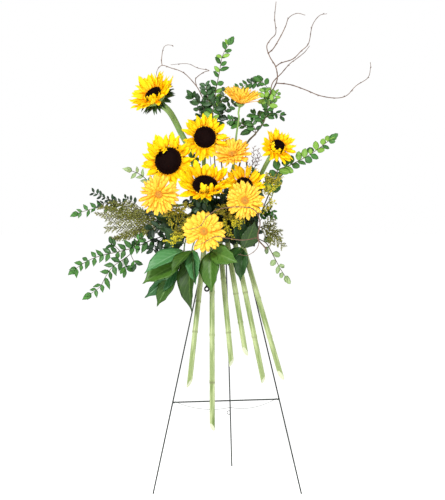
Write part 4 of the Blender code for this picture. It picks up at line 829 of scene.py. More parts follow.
RAY_EDGES = [outline(stops) for stops in (
    ((0.0, 0.24), (0.40, 0.50), (0.74, 0.38), (1.0, 0.0)),
    ((0.0, 0.20), (0.30, 0.44), (0.60, 0.50), (0.86, 0.26), (1.0, 0.0)),
    ((0.0, 0.26), (0.46, 0.46), (0.80, 0.22), (1.0, 0.0)))]
STRAP_EDGE = outline(((0.0, 0.26), (0.40, 0.44), (0.76, 0.50), (0.92, 0.40), (1.0, 0.12)))
LEAF_EDGE = outline(((0.0, 0.03), (0.10, 0.24), (0.42, 0.50), (0.78, 0.38), (1.0, 0.0)))
POINTED_EDGE = outline(((0.0, 0.03), (0.12, 0.27), (0.40, 0.50), (0.72, 0.30), (0.90, 0.10),
                        (1.0, 0.0)))
BRACT_EDGE = outline(((0.0, 0.30), (0.30, 0.50), (0.7, 0.24), (1.0, 0.0)))
RAY_SHAPES = bent_shapes(
    "sunflower_rays", "ray", RAY_EDGES, (8, 4), 0.022, 0.040, 0.010, 0,
    ((0.16, -0.06, 0.30), (0.04, 0.10, -0.35), (-0.12, -0.04, 0.10), (0.12, 0.12, -0.12),
     (0.28, 0.04, 0.50), (-0.02, -0.10, -0.55), (0.20, 0.14, 0.0), (0.34, 0.10, -0.20),
     (-0.06, 0.12, 0.22)))
STRAP_SHAPES = bent_shapes(
    "gerbera_straps", "strap", [STRAP_EDGE], (7, 4), 0.010, 0.008, 0.010, 20,
    ((-0.04, -0.02, 0.0), (0.02, 0.02, 0.0), (-0.10, -0.03, 0.0), (0.05, 0.03, 0.0),
     (-0.01, 0.01, 0.0)))
LEAF_SHAPES = bent_shapes(
    "oval_leaves", "leaf", [LEAF_EDGE], (6, 4), -0.008, 0.016, 0.02, 40,
    ((-0.16, 0.05, 0.0), (-0.06, 0.09, 0.0), (0.05, 0.04, 0.0), (-0.26, 0.07, 0.0)))
POINTED_SHAPES = bent_shapes(
    "pointed_leaves", "pointed", [POINTED_EDGE], (7, 4), -0.008, 0.020, 0.02, 80,
    ((-0.20, 0.08, 0.10), (-0.05, 0.12, -0.12), (0.06, 0.05, 0.0), (-0.32, 0.09, -0.05)))
BRACT_SHAPES = bent_shapes(
    "bracts", "bract", [BRACT_EDGE], (5, 2), 0.0, 0.02, 0.02, 60,
    ((-0.25, 0.06, 0.0), (-0.10, 0.06, 0.0), (0.12, 0.06, 0.0)))


def broad_height(seed):
    """A broad leaf: folded along the rib, raised between its side veins, and waved at the edge."""
    rng = random.Random(seed)
    phase = rng.uniform(0.0, 6.0)

    def height(t, c):
        side_veins = math.sin((t * 7.0 - abs(c) * 1.6) * math.tau)
        quilt = 0.010 * side_veins * (1.0 - abs(c)) * abs(c) * 4.0
        wave = 0.022 * c * c * math.sin(t * 8.0 + phase + (2.0 if c > 0 else 0.0))
        return -0.20 * t * t + 0.11 * abs(c) * math.sin(math.pi * min(1.0, t + 0.06)) + quilt + wave
    return height


BROAD_EDGE = outline(((0.0, 0.02), (0.06, 0.20), (0.18, 0.40), (0.42, 0.50), (0.72, 0.34),
                      (0.92, 0.08), (1.0, 0.0)))
BROAD_SHAPES = shape_group("broad_leaves", [
    blade_mesh(f"broad_{i}", 20, 8, BROAD_EDGE, broad_height(i), 0.012) for i in range(4)])


def bud_mesh(name, profile, sides):
    """A small turned bud, closed at both ends."""
    bud = bmesh.new()
    turns = [math.tau * k / sides for k in range(sides)]
    rings = [[bud.verts.new((r * math.cos(turn), r * math.sin(turn), z)) for turn in turns]
             for r, z in profile[1:-1]]
    low, high = bud.verts.new((0.0, 0.0, profile[0][1])), bud.verts.new((0.0, 0.0, profile[-1][1]))
    for k in range(sides):
        n = (k + 1) % sides
        bud.faces.new((low, rings[0][n], rings[0][k]))
        bud.faces.new((high, rings[-1][k], rings[-1][n]))
        for a, b in zip(rings, rings[1:]):
            bud.faces.new((a[k], a[n], b[n], b[k]))
    mesh = bpy.data.meshes.new(name)
    bud.to_mesh(mesh)
    bud.free()
    zs = [v.co.z for v in mesh.vertices]
    add_numbers(mesh, "along", [(z - min(zs)) / (max(zs) - min(zs)) for z in zs])
    return mesh


FLORET_SHAPES = shape_group("florets", [
    bud_mesh("floret_round", ((0, -0.5), (0.42, -0.2), (0.50, 0.15), (0, 0.6)), 5),
    bud_mesh("floret_open", ((0, -0.5), (0.30, -0.3), (0.55, 0.45), (0, 0.25)), 6)])
SEED_SHAPES = shape_group("disc_florets", [
    bud_mesh("seed_point", ((0, -0.5), (0.50, -0.3), (0.42, 0.3), (0, 0.9)), 5),
    bud_mesh("seed_open", ((0, -0.5), (0.50, -0.3), (0.52, 0.5), (0, 0.3)), 6)])
NEEDLE_SHAPES = shape_group("needles", [
    bud_mesh("needle", ((0, -0.02), (0.5, 0.04), (0.4, 0.6), (0, 1.0)), 3)])

# %% [markdown]
# The easel is bent from enamelled wire, so it is skin on a few lines. Both front legs and the short
# bar at their top are one wire, with a crossbar welded on lower down. The rear leg ends in an eye
# that turns on the top bar, and it carries a small ring for the stay.

# %% Easel
FOOT_LEFT = Vector((-0.2024, -0.170, 0.0))
FOOT_RIGHT = Vector((0.2088, -0.170, 0.0))
FOOT_REAR = Vector((0.0185, 0.196, 0.0))
BAR_HEIGHTS = (0.2465, 0.2555)
FOOT_LIFT = Vector((0.0, 0.0, 0.0005))
PIN = Vector((0.011, 0.0, 0.0))
BEND = Vector((0.003, 0.0, 0.0))
BAR_END, BAR_SINK = 0.005, 0.0005
EYE_R, RING_R, RING_WIRE_R, RING_Z = 0.0044, 0.0055, 0.0008, 0.171
WELD_STEPS = ((-3.6, 0.0010), (-2.4, 0.0022), (0.0, 0.0027), (2.4, 0.0022), (3.6, 0.0010))


def point_at_height(foot, z):
    return foot.lerp(APEX, z / APEX.z)


def circle_path(centre, radius, axis, count=24):
    """A closed ring, drawn as a line that meets itself."""
    side = axis.orthogonal().normalized()
    up = axis.cross(side).normalized()
    return [centre + (side * math.cos(a) + up * math.sin(a)) * radius
            for a in (math.tau * i / count for i in range(count + 1))]


def bend_path(corner, first, last):
    """A small round bend of the wire, from one way to another."""
    inside = [corner + first.lerp(last, share) * 0.74 for share in (0.25, 0.5, 0.75)]
    return [corner + first, *inside, corner + last]


left_top, right_top = APEX - PIN, APEX + PIN
left_leg, right_leg = FOOT_LEFT - left_top, FOOT_RIGHT - right_top
frame_path = [FOOT_LEFT + FOOT_LIFT, left_top + left_leg * 0.5]
frame_path += bend_path(left_top, left_leg.normalized() * BEND.x, BEND)
frame_path += bend_path(right_top, -BEND, right_leg.normalized() * BEND.x)
frame_path += [right_top + right_leg * 0.5, FOOT_RIGHT + FOOT_LIFT]
bar_ends, welds = [], []
for foot, z, sign in ((FOOT_LEFT, BAR_HEIGHTS[0], -1.0), (FOOT_RIGHT, BAR_HEIGHTS[1], 1.0)):
    end = point_at_height(foot, z) + Vector((sign * BAR_END, -BAR_SINK, 0.0))
    middle = end + Vector((-sign * BAR_END, 0.0, 0.0))
    bar_ends.append(end)
    welds.append(([middle + Vector((x * 0.001, -0.0004, 0.0)) for x, _ in WELD_STEPS],
                  [r for _, r in WELD_STEPS]))
frame_lines = [(frame_path, [WIRE_R] * len(frame_path)), (bar_ends, [WIRE_R] * 2)] + welds
finished("easel_front", [skinned(frame_lines, EASEL_ENAMEL, sides=14)], ["front_frame"])

rear_down = (FOOT_REAR - APEX).normalized()
ring_middle = point_at_height(FOOT_REAR, RING_Z) + Vector((-EYE_R, 0.0, 0.0))
rear_path = [APEX + rear_down * EYE_R, APEX.lerp(FOOT_REAR, 0.5), FOOT_REAR + FOOT_LIFT]
eye = circle_path(APEX, EYE_R, Vector((1, 0, 0)))
ring = circle_path(ring_middle, RING_R, Vector((0, 1, 0)))
rear_lines = [(rear_path, [WIRE_R] * 3), (eye, [WIRE_R] * len(eye)),
              (ring, [RING_WIRE_R] * len(ring))]
finished("easel_rear_leg", [skinned(rear_lines, EASEL_ENAMEL, sides=14)], ["rear_leg"],
         body=LEG_BODY)
print("legs are", round(left_leg.length, 3), "m long")

# %% [markdown]
# The stay is a thin bright wire. It hooks on both ends of the crossbar and passes behind the rear
# leg, and it sags between them. It follows the easel at its ends and the rear leg in the middle, so
# it is taken off the easel's body and rides on neither of the two.

# %% Stay
STAY_R, STAY_Z, STAY_SAG = 0.0008, 0.186, 0.048
HOOK_R = WIRE_R + STAY_R - 0.0002
STAY_STEPS = 24
leg_place = point_at_height(FOOT_REAR, STAY_Z)
behind = leg_place + Vector((0.0, WIRE_R + STAY_R + 0.0005, 0.0))
halves, hooks = [], []
for foot, z, sign in ((FOOT_LEFT, BAR_HEIGHTS[0], -1.0), (FOOT_RIGHT, BAR_HEIGHTS[1], 1.0)):
    end = point_at_height(foot, z) + Vector((-sign * 0.006, HOOK_R, 0.0))
    beside = behind + Vector((sign * 0.0035, -0.0012, 0.0003))
    half = []
    for t in (step / STAY_STEPS for step in range(STAY_STEPS)):
        place = end.lerp(beside, t)
        place.z -= STAY_SAG * t * (1.0 - t)
        half.append(place)
    halves.append(half + [beside])
    middle = half[0] + Vector((0.0, -HOOK_R, 0.0))
    hook = [middle + Vector((sign * 0.0004 * k, math.cos(a) * HOOK_R, math.sin(a) * HOOK_R))
            for k, a in enumerate(math.radians(30.0 * k) for k in range(14))]
    hooks.append((hook, [STAY_R] * len(hook)))
stay_path = halves[0] + [behind] + halves[1][::-1]
stay_lines = [(stay_path, [STAY_R] * len(stay_path)), *hooks]
stay = finished("stay_wire", [skinned(stay_lines, STAY_STEEL, sides=8)], ["stay"])
stay.parent = None
stay.matrix_world = Matrix.Identity(4)
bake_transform(stay)
print("stay has", len(stay_path), "points")

# %% [markdown]
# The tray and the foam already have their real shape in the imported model, so copies of them are
# dressed. Their loose triangles are merged first, and a small bevel takes the sharpness from every
# edge, as moulding and cutting do.


# %% Tray and foam
def dressed_copy(name, node, finish, bevel):
    source = frame["nodes"][node].data
    copy = bmesh.new()
    copy.from_mesh(source)
    bmesh.ops.remove_doubles(copy, verts=copy.verts[:], dist=0.00002)
    bmesh.ops.dissolve_limit(copy, angle_limit=math.radians(1.0), verts=copy.verts[:],
                             edges=copy.edges[:])
    mesh = bpy.data.meshes.new(name)
    copy.to_mesh(mesh)
    copy.free()
    mesh.materials.clear()
    mesh.materials.append(finish)
    piece = finished(name, [mesh], [node])
    soft = piece.modifiers.new("bevel", "BEVEL")
    soft.width = bevel
    soft.segments = 2
    soft.limit_method = "ANGLE"
    soft.angle_limit = math.radians(35.0)
    return piece


dressed_copy("tray", "holder_tray", TRAY_PLASTIC, 0.0003)
dressed_copy("foam", "foam_block", FOAM_IN_SHADE, 0.0006)
print("tray and foam dressed")

# %% [markdown]
# Six pale stalks hang below the holder and are cut across on a slant. Each is skin on one line that
# swells at its nodes, where it also turns brown. The slanted end is cut with a plane and filled,
# and a darker finish on the new face shows the pith.

# %% Cut stems
CUT_STEM_R, CUT_STEM_STEPS, CUT_STEM_BOW = 0.0075, 90, 0.016
CUT_ABOVE_TIP = 0.014
CUT_STEMS = (
    (-46, (-103, -176, 292), (0.42, 0.62)), (-26, (-38, -205, 176), (0.28, 0.50, 0.74)),
    (-4, (16, -168, 348), (0.30, 0.72)), (18, (56, -162, 378), (0.45, 0.70)),
    (40, (106, -178, 302), (0.35, 0.66)), (61, (156, -178, 314), (0.40, 0.68)),
)
PITH = stem_finish("cut_pith", (0.55, 0.60, 0.38), (0.72, 0.74, 0.55), (0.30, 0.33, 0.14), 0.6)


def cut_stem(number, x, tip, knots):
    bottom, mouth = hole_points(("bottom", *in_metres((x, -43, 26))))
    tip = Vector(in_metres(tip))
    run = tip - mouth
    path, radii, brown = [bottom], [CUT_STEM_R], [0.0]
    for i in range(CUT_STEM_STEPS + 1):
        t = i / CUT_STEM_STEPS
        place = mouth + run * t
        place.y -= CUT_STEM_BOW * math.sin(math.pi * t) if t < 1.0 else 0.0
        near = max(math.exp(-((t - k) / 0.007) ** 2) for k in knots)
        waist = max(math.exp(-((t - k - 0.022) / 0.018) ** 2) for k in knots)
        path.append(place)
        radii.append(CUT_STEM_R * (0.97 + 0.15 * near - 0.05 * waist))
        brown.append(0.85 * max(math.exp(-((t - k - 0.004) / 0.0035) ** 2) for k in knots))
    mesh = skinned([(path, radii, brown)], CUT_GREEN, sides=20)
    mesh.materials.append(PITH)
    along = run.normalized()
    side = Vector((1.0, -0.6, 0.0)) if number % 2 else Vector((-0.8, -0.9, 0.0))
    normal = (along + side.normalized() * 1.6).normalized()
    stalk = bmesh.new()
    stalk.from_mesh(mesh)
    bmesh.ops.bisect_plane(stalk, geom=stalk.verts[:] + stalk.edges[:] + stalk.faces[:],
                           plane_co=tip - along * CUT_ABOVE_TIP, plane_no=normal, clear_outer=True)
    open_edges = [edge for edge in stalk.edges if len(edge.link_faces) == 1]
    ends = bmesh.ops.holes_fill(stalk, edges=open_edges)["faces"]
    for face in ends:
        face.material_index = 1
        face.smooth = False
    bmesh.ops.recalc_face_normals(stalk, faces=stalk.faces[:])
    stalk.to_mesh(mesh)
    stalk.free()
    return finished(f"stalk_{number}", [mesh], [f"cut_stem_{number}"])


for number, (x, tip, knots) in enumerate(CUT_STEMS, 1):
    cut_stem(number, x, tip, knots)
print(len(CUT_STEMS), "cut stems")

# %% [markdown]
# A sunflower has three things to build: the stalk with its ring of pointed green bracts, the yellow
# rays, and the dark disc. The places and directions of the six blooms are those of the packed
# model. The rays come in three layers, and each layer opens a little less than the one behind it.
# On most of the blooms a few short rays have not opened yet: they still curl in over the disc, on
# the side given in degrees. The high bloom leans away to the left. On its near side the rays stand
# up, and its green ruff shows under them.

# %% Sunflowers
SUNFLOWERS = table_in_metres({
    "sunflower_high": dict(
        centre=(-206, -30, 1116), facing=(-0.48, -0.68, 0.56), reach=82, disc=29, cup=25.0,
        gather=(305.0, 8.0), ruff=1.35, stem=7.2, neck=10.5, curl=(215.0, 320.0, 5),
        hole=("top", -71, -24, 28), route=((-104, -12, 955), (-128, 2, 1005), (-160, 6, 1067))),
    "sunflower_top": dict(
        centre=(-60, -85, 993), facing=(0.0, -0.98, 0.15), reach=71, disc=33.5, cup=12.0,
        stem=6, curl=(262.0, 278.0, 0), hole=("top", -43, -52, 26),
        route=((-62, -40, 900), (-62, -30, 965))),
    "sunflower_left": dict(
        centre=(-161, -115, 925), facing=(-0.25, -0.95, 0.15), reach=82, disc=41.5, cup=12.0,
        stem=6, curl=(100.0, 152.0, 5), hole=("top", -73, -60, 26),
        route=((-100, -62, 860), (-140, -58, 905))),
    "sunflower_middle": dict(
        centre=(-59, -184, 853), facing=(0.0, -0.72, 0.69), reach=85, disc=36.5, cup=26.0,
        stem=6, curl=(235.0, 325.0, 5), hole=("front", -46, 14, 20), route=((-58, -142, 800),)),
    "sunflower_right": dict(
        centre=(147, -60, 966), facing=(0.20, -0.92, 0.30), reach=57, disc=23, cup=16.0,
        stem=6.5, curl=(140.0, 345.0, 13), hole=("top", 70, -26, 28),
        route=((93, -28, 870), (122, -20, 930))),
    "sunflower_behind": dict(
        centre=(50, -125, 855), facing=(0.15, -0.85, 0.50), reach=66, disc=25.5, cup=16.0,
        stem=6, curl=(200.0, 240.0, 2), hole=("top", 33, -58, 26), route=()),
})
UP = Vector((0.0, 0.0, 1.0))
# each layer: rays, height, share of the length, width for the reach, lift, its spread, least size
RAY_LAYERS = ((17, 0.0010, 1.00, 0.25, -3.0, 9.0, 0.76), (15, 0.0022, 0.97, 0.23, 7.0, 11.0, 0.68),
              (11, 0.0034, 0.84, 0.18, 19.0, 15.0, 0.50))
DOME_RINGS = (1.0, 0.9, 0.75, 0.6, 0.45, 0.3, 0.15)
SEEDS, DOME_RISE, DOME_UNDER = 420, 0.32, 0.0008


def ring_sites(place, count, root_r, root_z, length, width, lift, seed, spread=7.0,
               sizes=(0.84, 1.04), gather=(0.0, 0.0)):
    """One layer of petals round a bloom. On one side they may stand up more."""
    rng = random.Random(seed)
    sites = []
    for i in range(count):
        angle = math.tau * (i + rng.uniform(-0.30, 0.30)) / count
        rise = gather[1] * max(0.0, math.cos(angle - math.radians(gather[0])))
        slope = math.radians(lift + rng.uniform(-spread, spread) + rise)
        out, across = spoke(angle), tangent(angle)
        along = out * math.cos(slope) + UP * math.sin(slope) + across * rng.uniform(-0.14, 0.14)
        size = length * rng.uniform(*sizes)
        root = out * root_r + UP * root_z
        frame_here = place @ turned_frame(root, along, UP + across * rng.uniform(-0.35, 0.35))
        sites.append((frame_here, (width * rng.uniform(0.85, 1.12), size, size), rng.random()))
    return sites


def curled_sites(place, arc, root_r, root_z, length, width, seed):
    """Young rays that still curl in over the disc, on one side of the bloom."""
    rng = random.Random(seed)
    first, last, count = arc
    sites = []
    for i in range(count):
        angle = math.radians(first + (last - first) * (i + rng.uniform(0.2, 0.8)) / count)
        slope = math.radians(rng.uniform(82.0, 128.0))
        out, across = spoke(angle), tangent(angle)
        along = out * math.cos(slope) + UP * math.sin(slope) + across * rng.uniform(-0.35, 0.35)
        upper = UP * math.cos(slope) - out * math.sin(slope)
        size = length * rng.uniform(0.7, 1.1)
        root = out * root_r + UP * root_z
        sites.append((place @ turned_frame(root, along, upper),
                      (width * rng.uniform(0.8, 1.1), size, size), rng.random()))
    return sites


def neck_lines(spec, place, neck_depth, radius):
    neck = place @ Vector((0.0, 0.0, -neck_depth))
    below = place @ Vector((0.0, 0.0, -neck_depth - 0.022))
    path = rooted_route(spec["hole"], [*spec["route"], below, neck])
    return [tapered(path, radius, spec.get("neck", radius))]


def turned_piece(profile, segments, place, finish):
    """A round piece from a list of (radius, height), closed at its poles."""
    mesh = bud_mesh("turned", profile, segments)
    mesh.transform(place)
    mesh.materials.append(finish)
    mesh.shade_smooth()
    return mesh


def disc_finish():
    """Nearly black florets, a little browner at the rim and in the young middle."""
    finish = Finish("sunflower_seed_head", 0.85, specular=0.04)
    tone, along = finish.attribute("tone"), finish.attribute("along")
    body = finish.ramp(tone, ((0.0, (0.010, 0.004, 0.003)), (0.35, (0.004, 0.0015, 0.002)),
                              (0.75, (0.005, 0.0015, 0.002)), (1.0, (0.022, 0.007, 0.004))))
    finish.paint(finish.mix((along * 0.4).clamped(), body, (0.020, 0.008, 0.007)),
                 0.6 + finish.noise(1200.0) * 0.3)
    finish.bump(finish.noise(1500.0), 0.4, 0.0004)
    return finish.material


SEED_HEAD = disc_finish()
GOLDEN_ANGLE = math.pi * (3.0 - math.sqrt(5.0))
BUD_ALONG = Matrix.Rotation(-math.pi / 2.0, 4, "X")


def spiral_florets(base, count, radius, height, slope, thick, tall, rng):
    """Florets in the spiral of a seed head, by rules that read how far out each one sits."""
    sites = []
    for i in range(count):
        share = math.sqrt((i + 0.5) / count)
        angle = GOLDEN_ANGLE * i
        across, up = radius * share * math.cos(angle), radius * share * math.sin(angle)
        normal = spoke(angle) * slope(share) + UP
        wide = thick(share)
        high = wide * tall(share) * rng.uniform(0.8, 1.3)
        place = turned_frame(Vector((across, up, height(share))), normal, tangent(angle))
        sites.append((base @ place @ BUD_ALONG, (wide, wide, high), share))
    return sites


def dome_height(share, radius):
    return radius * DOME_RISE * (1.0 - share ** 4) - 0.12 * radius * math.exp(-(share / 0.34) ** 2)


def make_sunflower(name, spec):
    place = bloom_frame(spec["centre"], spec["facing"])
    disc, reach, cup, stem_r = spec["disc"], spec["reach"], spec["cup"], spec["stem"]
    ruff = spec.get("ruff", 1.0)
    neck_r = spec.get("neck", stem_r)
    profile = ((0, -0.0195), (neck_r / ruff * 1.08, -0.019), (disc * 0.62, -0.0125),
               (disc * 0.90, -0.005), (disc * 0.92, -0.001), (0, -0.0006))
    cup_mesh = turned_piece([(r * ruff, z * ruff) for r, z in profile], 24, place, STALK_GREEN)
    rng = random.Random(name)
    bracts = []
    for layer, count in enumerate((13, 12) if ruff == 1.0 else (19, 18, 17)):
        for i in range(count):
            angle = math.tau * (i + 0.5 * layer + rng.uniform(-0.25, 0.25)) / count
            out = spoke(angle) + UP * (-0.10 - 0.30 * rng.random() + 0.12 * layer)
            root = spoke(angle) * disc * 0.80 * ruff + UP * (-0.0070 * ruff + 0.002 * layer)
            length = disc * rng.uniform(0.62, 0.82) * ruff
            bracts.append((place @ turned_frame(root, out, UP), (disc * 0.42, length, length),
                           rng.random()))
    stalk = skinned(neck_lines(spec, place, 0.012 * ruff, stem_r), STALK_GREEN, sides=14)
    meshes = [stalk, cup_mesh, bladed(bracts, BRACT_SHAPES, BRACT_GREEN, seed=3)]
    finished(name + "_stalk", meshes, [name + "_stem"])
    root_r = disc * 0.93
    length, rays = reach * 1.03 - root_r, []
    for count, level, share, wide, lift, spread, least in RAY_LAYERS:
        rays += ring_sites(place, count, root_r, level, length * share, reach * wide, cup + lift,
                           f"{name}{count}", spread, (least, 1.06), spec.get("gather", (0.0, 0.0)))
    rays += curled_sites(place, spec["curl"], disc * 0.97, 0.0036, disc * 0.85, reach * 0.20,
                         name + "d")
    hub = turned_piece(((0, 0.0), (disc, 0.0002), (disc * 1.03, 0.002), (disc, 0.0038), (0, 0.004)),
                       32, place, RAY_YELLOW)
    finished(name + "_rays", [hub, bladed(rays, RAY_SHAPES, RAY_YELLOW, seed=5)],
             [name + "_petals"])
    size = disc * 0.93
    base = place @ Matrix.Translation((0.0, 0.0, 0.0063))
    profile = [(0, -0.0022), (size, -0.0020)]
    profile += [(size * s, dome_height(s, size) - DOME_UNDER) for s in DOME_RINGS]
    profile.append((0, dome_height(0.0, size) - DOME_UNDER))
    dome = turned_piece(profile, 32, base, SEED_HEAD)
    seeds = spiral_florets(base, SEEDS, size, lambda share: dome_height(share, size),
                           lambda share: 4.0 * DOME_RISE * share ** 3,
                           lambda share: size * (0.062 + 0.018 * share) * rng.uniform(0.9, 1.1),
                           lambda share: 1.3 if share > 0.62 else 0.8, rng)
    finished(name + "_seed_head", [dome, bladed(seeds, SEED_SHAPES, SEED_HEAD, seed=7)],
             [name + "_disc"])
    return len(rays)


make_all("sunflower rays", SUNFLOWERS, make_sunflower)

# %% [markdown]
# A gerbera is flatter. Its strap petals lie in four or five layers that get shorter and steeper
# towards the eye, and the eye itself is a low dome of tiny florets. The eye is dark in its very
# middle and orange towards its rim, so its finish reads how far out each floret sits.

# %% Gerberas
# each layer: petals, height over the hub (metres), share of the length, width (metres), lift, its
# spread and least size
FULL = ((25, 0.0010, 1.00, 0.0112, 0.0, 3.0, 0.90), (23, 0.0020, 0.95, 0.0104, 6.0, 3.5, 0.84),
        (19, 0.0029, 0.82, 0.0094, 12.0, 4.0, 0.78), (15, 0.0036, 0.60, 0.0078, 19.0, 6.0, 0.76),
        (24, 0.0042, 0.34, 0.0050, 32.0, 8.0, 0.70))
OPEN = ((23, 0.0010, 1.00, 0.0152, 0.0, 3.0, 0.93), (22, 0.0020, 0.93, 0.0136, 5.0, 3.0, 0.88),
        (18, 0.0032, 0.55, 0.0090, 14.0, 5.0, 0.80), (26, 0.0042, 0.36, 0.0054, 30.0, 8.0, 0.70))
LONG = ((27, 0.0010, 1.00, 0.0098, 0.0, 5.0, 0.90), (25, 0.0020, 0.98, 0.0092, 7.0, 6.0, 0.86),
        (21, 0.0029, 0.88, 0.0086, 14.0, 7.0, 0.80), (16, 0.0036, 0.66, 0.0072, 24.0, 9.0, 0.70),
        (14, 0.0042, 0.42, 0.0056, 42.0, 10.0, 0.70))
GERBERAS = table_in_metres({
    "gerbera_high": dict(
        centre=(41, -50, 1094), facing=(0.17, -0.34, 0.92), reach=64, cup=34.0, layers=LONG,
        hole=("top", 13, -30, 26), route=((22, -45, 900), (29, -45, 994), (37, -40, 1050))),
    "gerbera_upper": dict(
        centre=(17, -107, 943), facing=(-0.10, -0.68, 0.73), reach=59, cup=14.0,
        hole=("top", 2, -62, 24), route=((10, -70, 870), (20, -76, 915))),
    "gerbera_left": dict(
        centre=(-186, -200, 831), facing=(0.14, -0.97, -0.18), reach=59, cup=12.0, layers=LONG,
        hole=("left", -62, 32, 14), route=((-150, -115, 800), (-172, -150, 815))),
    "gerbera_bottom": dict(
        centre=(-61, -200, 728), facing=(0.0, -0.98, 0.20), reach=59, cup=8.0, layers=OPEN,
        hole=("front", -46, -24, 18), route=((-60, -150, 731),)),
    "gerbera_right": dict(
        centre=(51, -200, 813), facing=(0.10, -0.98, 0.12), reach=56, cup=8.0,
        hole=("front", 42, 16, 18), route=((45, -150, 800),)),
})


def eye_finish():
    finish = Finish("gerbera_eye", 0.6, specular=0.3)
    tone, along = finish.attribute("tone"), finish.attribute("along")
    body = finish.ramp(tone, ((0.0, (0.05, 0.02, 0.004)), (0.22, (0.16, 0.06, 0.01)),
                              (0.34, (0.86, 0.40, 0.03)), (0.62, (0.82, 0.25, 0.02)),
                              (1.0, (0.95, 0.46, 0.04))))
    finish.paint(finish.mix((along * 0.45).clamped(), body, (1.0, 0.55, 0.07)),
                 0.5 + finish.noise(1200.0) * 0.3)
    finish.bump(finish.noise(1500.0), 0.3, 0.0003)
    return finish.material


GERBERA_EYE = eye_finish()


def eye_height(share):
    return 0.0040 + 0.0034 * (1.0 - share ** 3) - 0.0012 * math.exp(-(share / 0.3) ** 2)


SCALES, SCALE_WIDTH, SCALE_LENGTH = 18, 0.0036, 0.0085
HUB_R, EYE_FLORETS, EYE_REACH = 0.0092, 150, 0.0112
CALYX = ((0, -0.0134), (0.0032, -0.013), (0.0085, -0.0085), (0.0122, -0.003), (0.0125, -0.0006),
         (0, -0.0004))
HUB = ((0, 0.0), (0.0125, 0.0002), (0.0130, 0.002), (0.0120, 0.0042), (0.009, 0.0062),
       (0.005, 0.0070), (0, 0.0066))


def make_gerbera(name, spec):
    place = bloom_frame(spec["centre"], spec["facing"])
    reach, cup, rng = spec["reach"], spec["cup"], random.Random(name)
    stalk = skinned(neck_lines(spec, place, 0.008, 0.0027), STALK_GREEN, sides=12)
    calyx = turned_piece(CALYX, 20, place, STALK_GREEN)
    scales = []
    for i in range(SCALES):
        angle = math.tau * (i + rng.uniform(-0.3, 0.3)) / SCALES
        out = spoke(angle)
        frame_here = turned_frame((out - UP) * SCALE_LENGTH, out * 0.55 + UP, -out)
        scales.append((place @ frame_here, (SCALE_WIDTH, SCALE_LENGTH, SCALE_LENGTH), rng.random()))
    meshes = [stalk, calyx, bladed(scales, BRACT_SHAPES, BRACT_GREEN, seed=3)]
    finished(name + "_stalk", meshes, [name + "_stem"])
    rays = []
    for count, level, share, wide, lift, spread, least in spec.get("layers", FULL):
        rays += ring_sites(place, count, HUB_R, level, (reach - HUB_R) * share, wide, cup + lift,
                           f"{name}{count}", spread, (least, 1.04))
    hub = turned_piece(HUB, 24, place, GERBERA_EYE)
    florets = spiral_florets(place, EYE_FLORETS, EYE_REACH, eye_height, lambda share: share * 0.8,
                             lambda share: 0.0010 + 0.0004 * share,
                             lambda share: 0.9 + 1.6 * share * share, rng)
    finished(name + "_flower", [bladed(rays, STRAP_SHAPES, GERBERA_GOLD, seed=9), hub,
                                bladed(florets, SEED_SHAPES, GERBERA_EYE, seed=11)],
             [name + "_bloom"])
    return len(rays)


make_all("gerbera petals", GERBERAS, make_gerbera)

# %% [markdown]
# Huckleberry is a wiry twig with oval leaves on its two sides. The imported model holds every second
# leaf. A leaf here takes the place of each of those: of the few ways that it could have been
# turned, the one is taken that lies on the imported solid. A leaf of about the same size is then
# added on its other side, and here and there a small young one.


# %% Leaves on twigs
def surface_of(node):
    mesh = frame["nodes"][node].data
    return BVHTree.FromPolygons([v.co for v in mesh.vertices],
                                [tuple(p.vertices) for p in mesh.polygons])


def lies_on(surface, root, along, length):
    """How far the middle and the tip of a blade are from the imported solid."""
    gap = 0.0
    for share in (0.5, 0.85):
        nearest = surface.find_nearest(root + along * length * share)
        gap += nearest[3]
    return gap


def best_way(surface, root, along, upper, axis, length, turns, stretches, tilt=0.0):
    """The turn and stretch that put the blade nearest to its solid."""
    best = None
    for stretch in stretches:
        for turn in turns:
            spin = Matrix.Rotation(math.radians(turn), 3, axis)
            lean = Matrix.Rotation(tilt, 3, axis.cross(upper).normalized())
            way, face = (spin @ (lean @ along)).normalized(), spin @ upper
            gap = lies_on(surface, root, way, length * stretch)
            if best is None or gap < best[0] - 0.0004:
                best = (gap, way, face, stretch)
    return best


def ageing(rng, share):
    """The tone of a leaf: dark near the foot of a twig, where it is older and lies deep in the
    bunch, so that this is partly painted shade; young and bright towards its tip.
    """
    return 0.35 * rng.random() + 0.65 * share


def front_face(rng, side, low, high):
    """A way for a leaf to face: to the front, and a little to one side and up or down."""
    return Vector((rng.uniform(-side, side), -1.0, rng.uniform(low, high)))


def leaf_way(along, face, sign, degrees, lift):
    """The way a leaf grows from its twig: to one side, at an angle, and lifted towards its face."""
    side, angle = along.cross(face).normalized() * sign, math.radians(degrees)
    return along * math.cos(angle) + side * math.sin(angle) + face.normalized() * lift


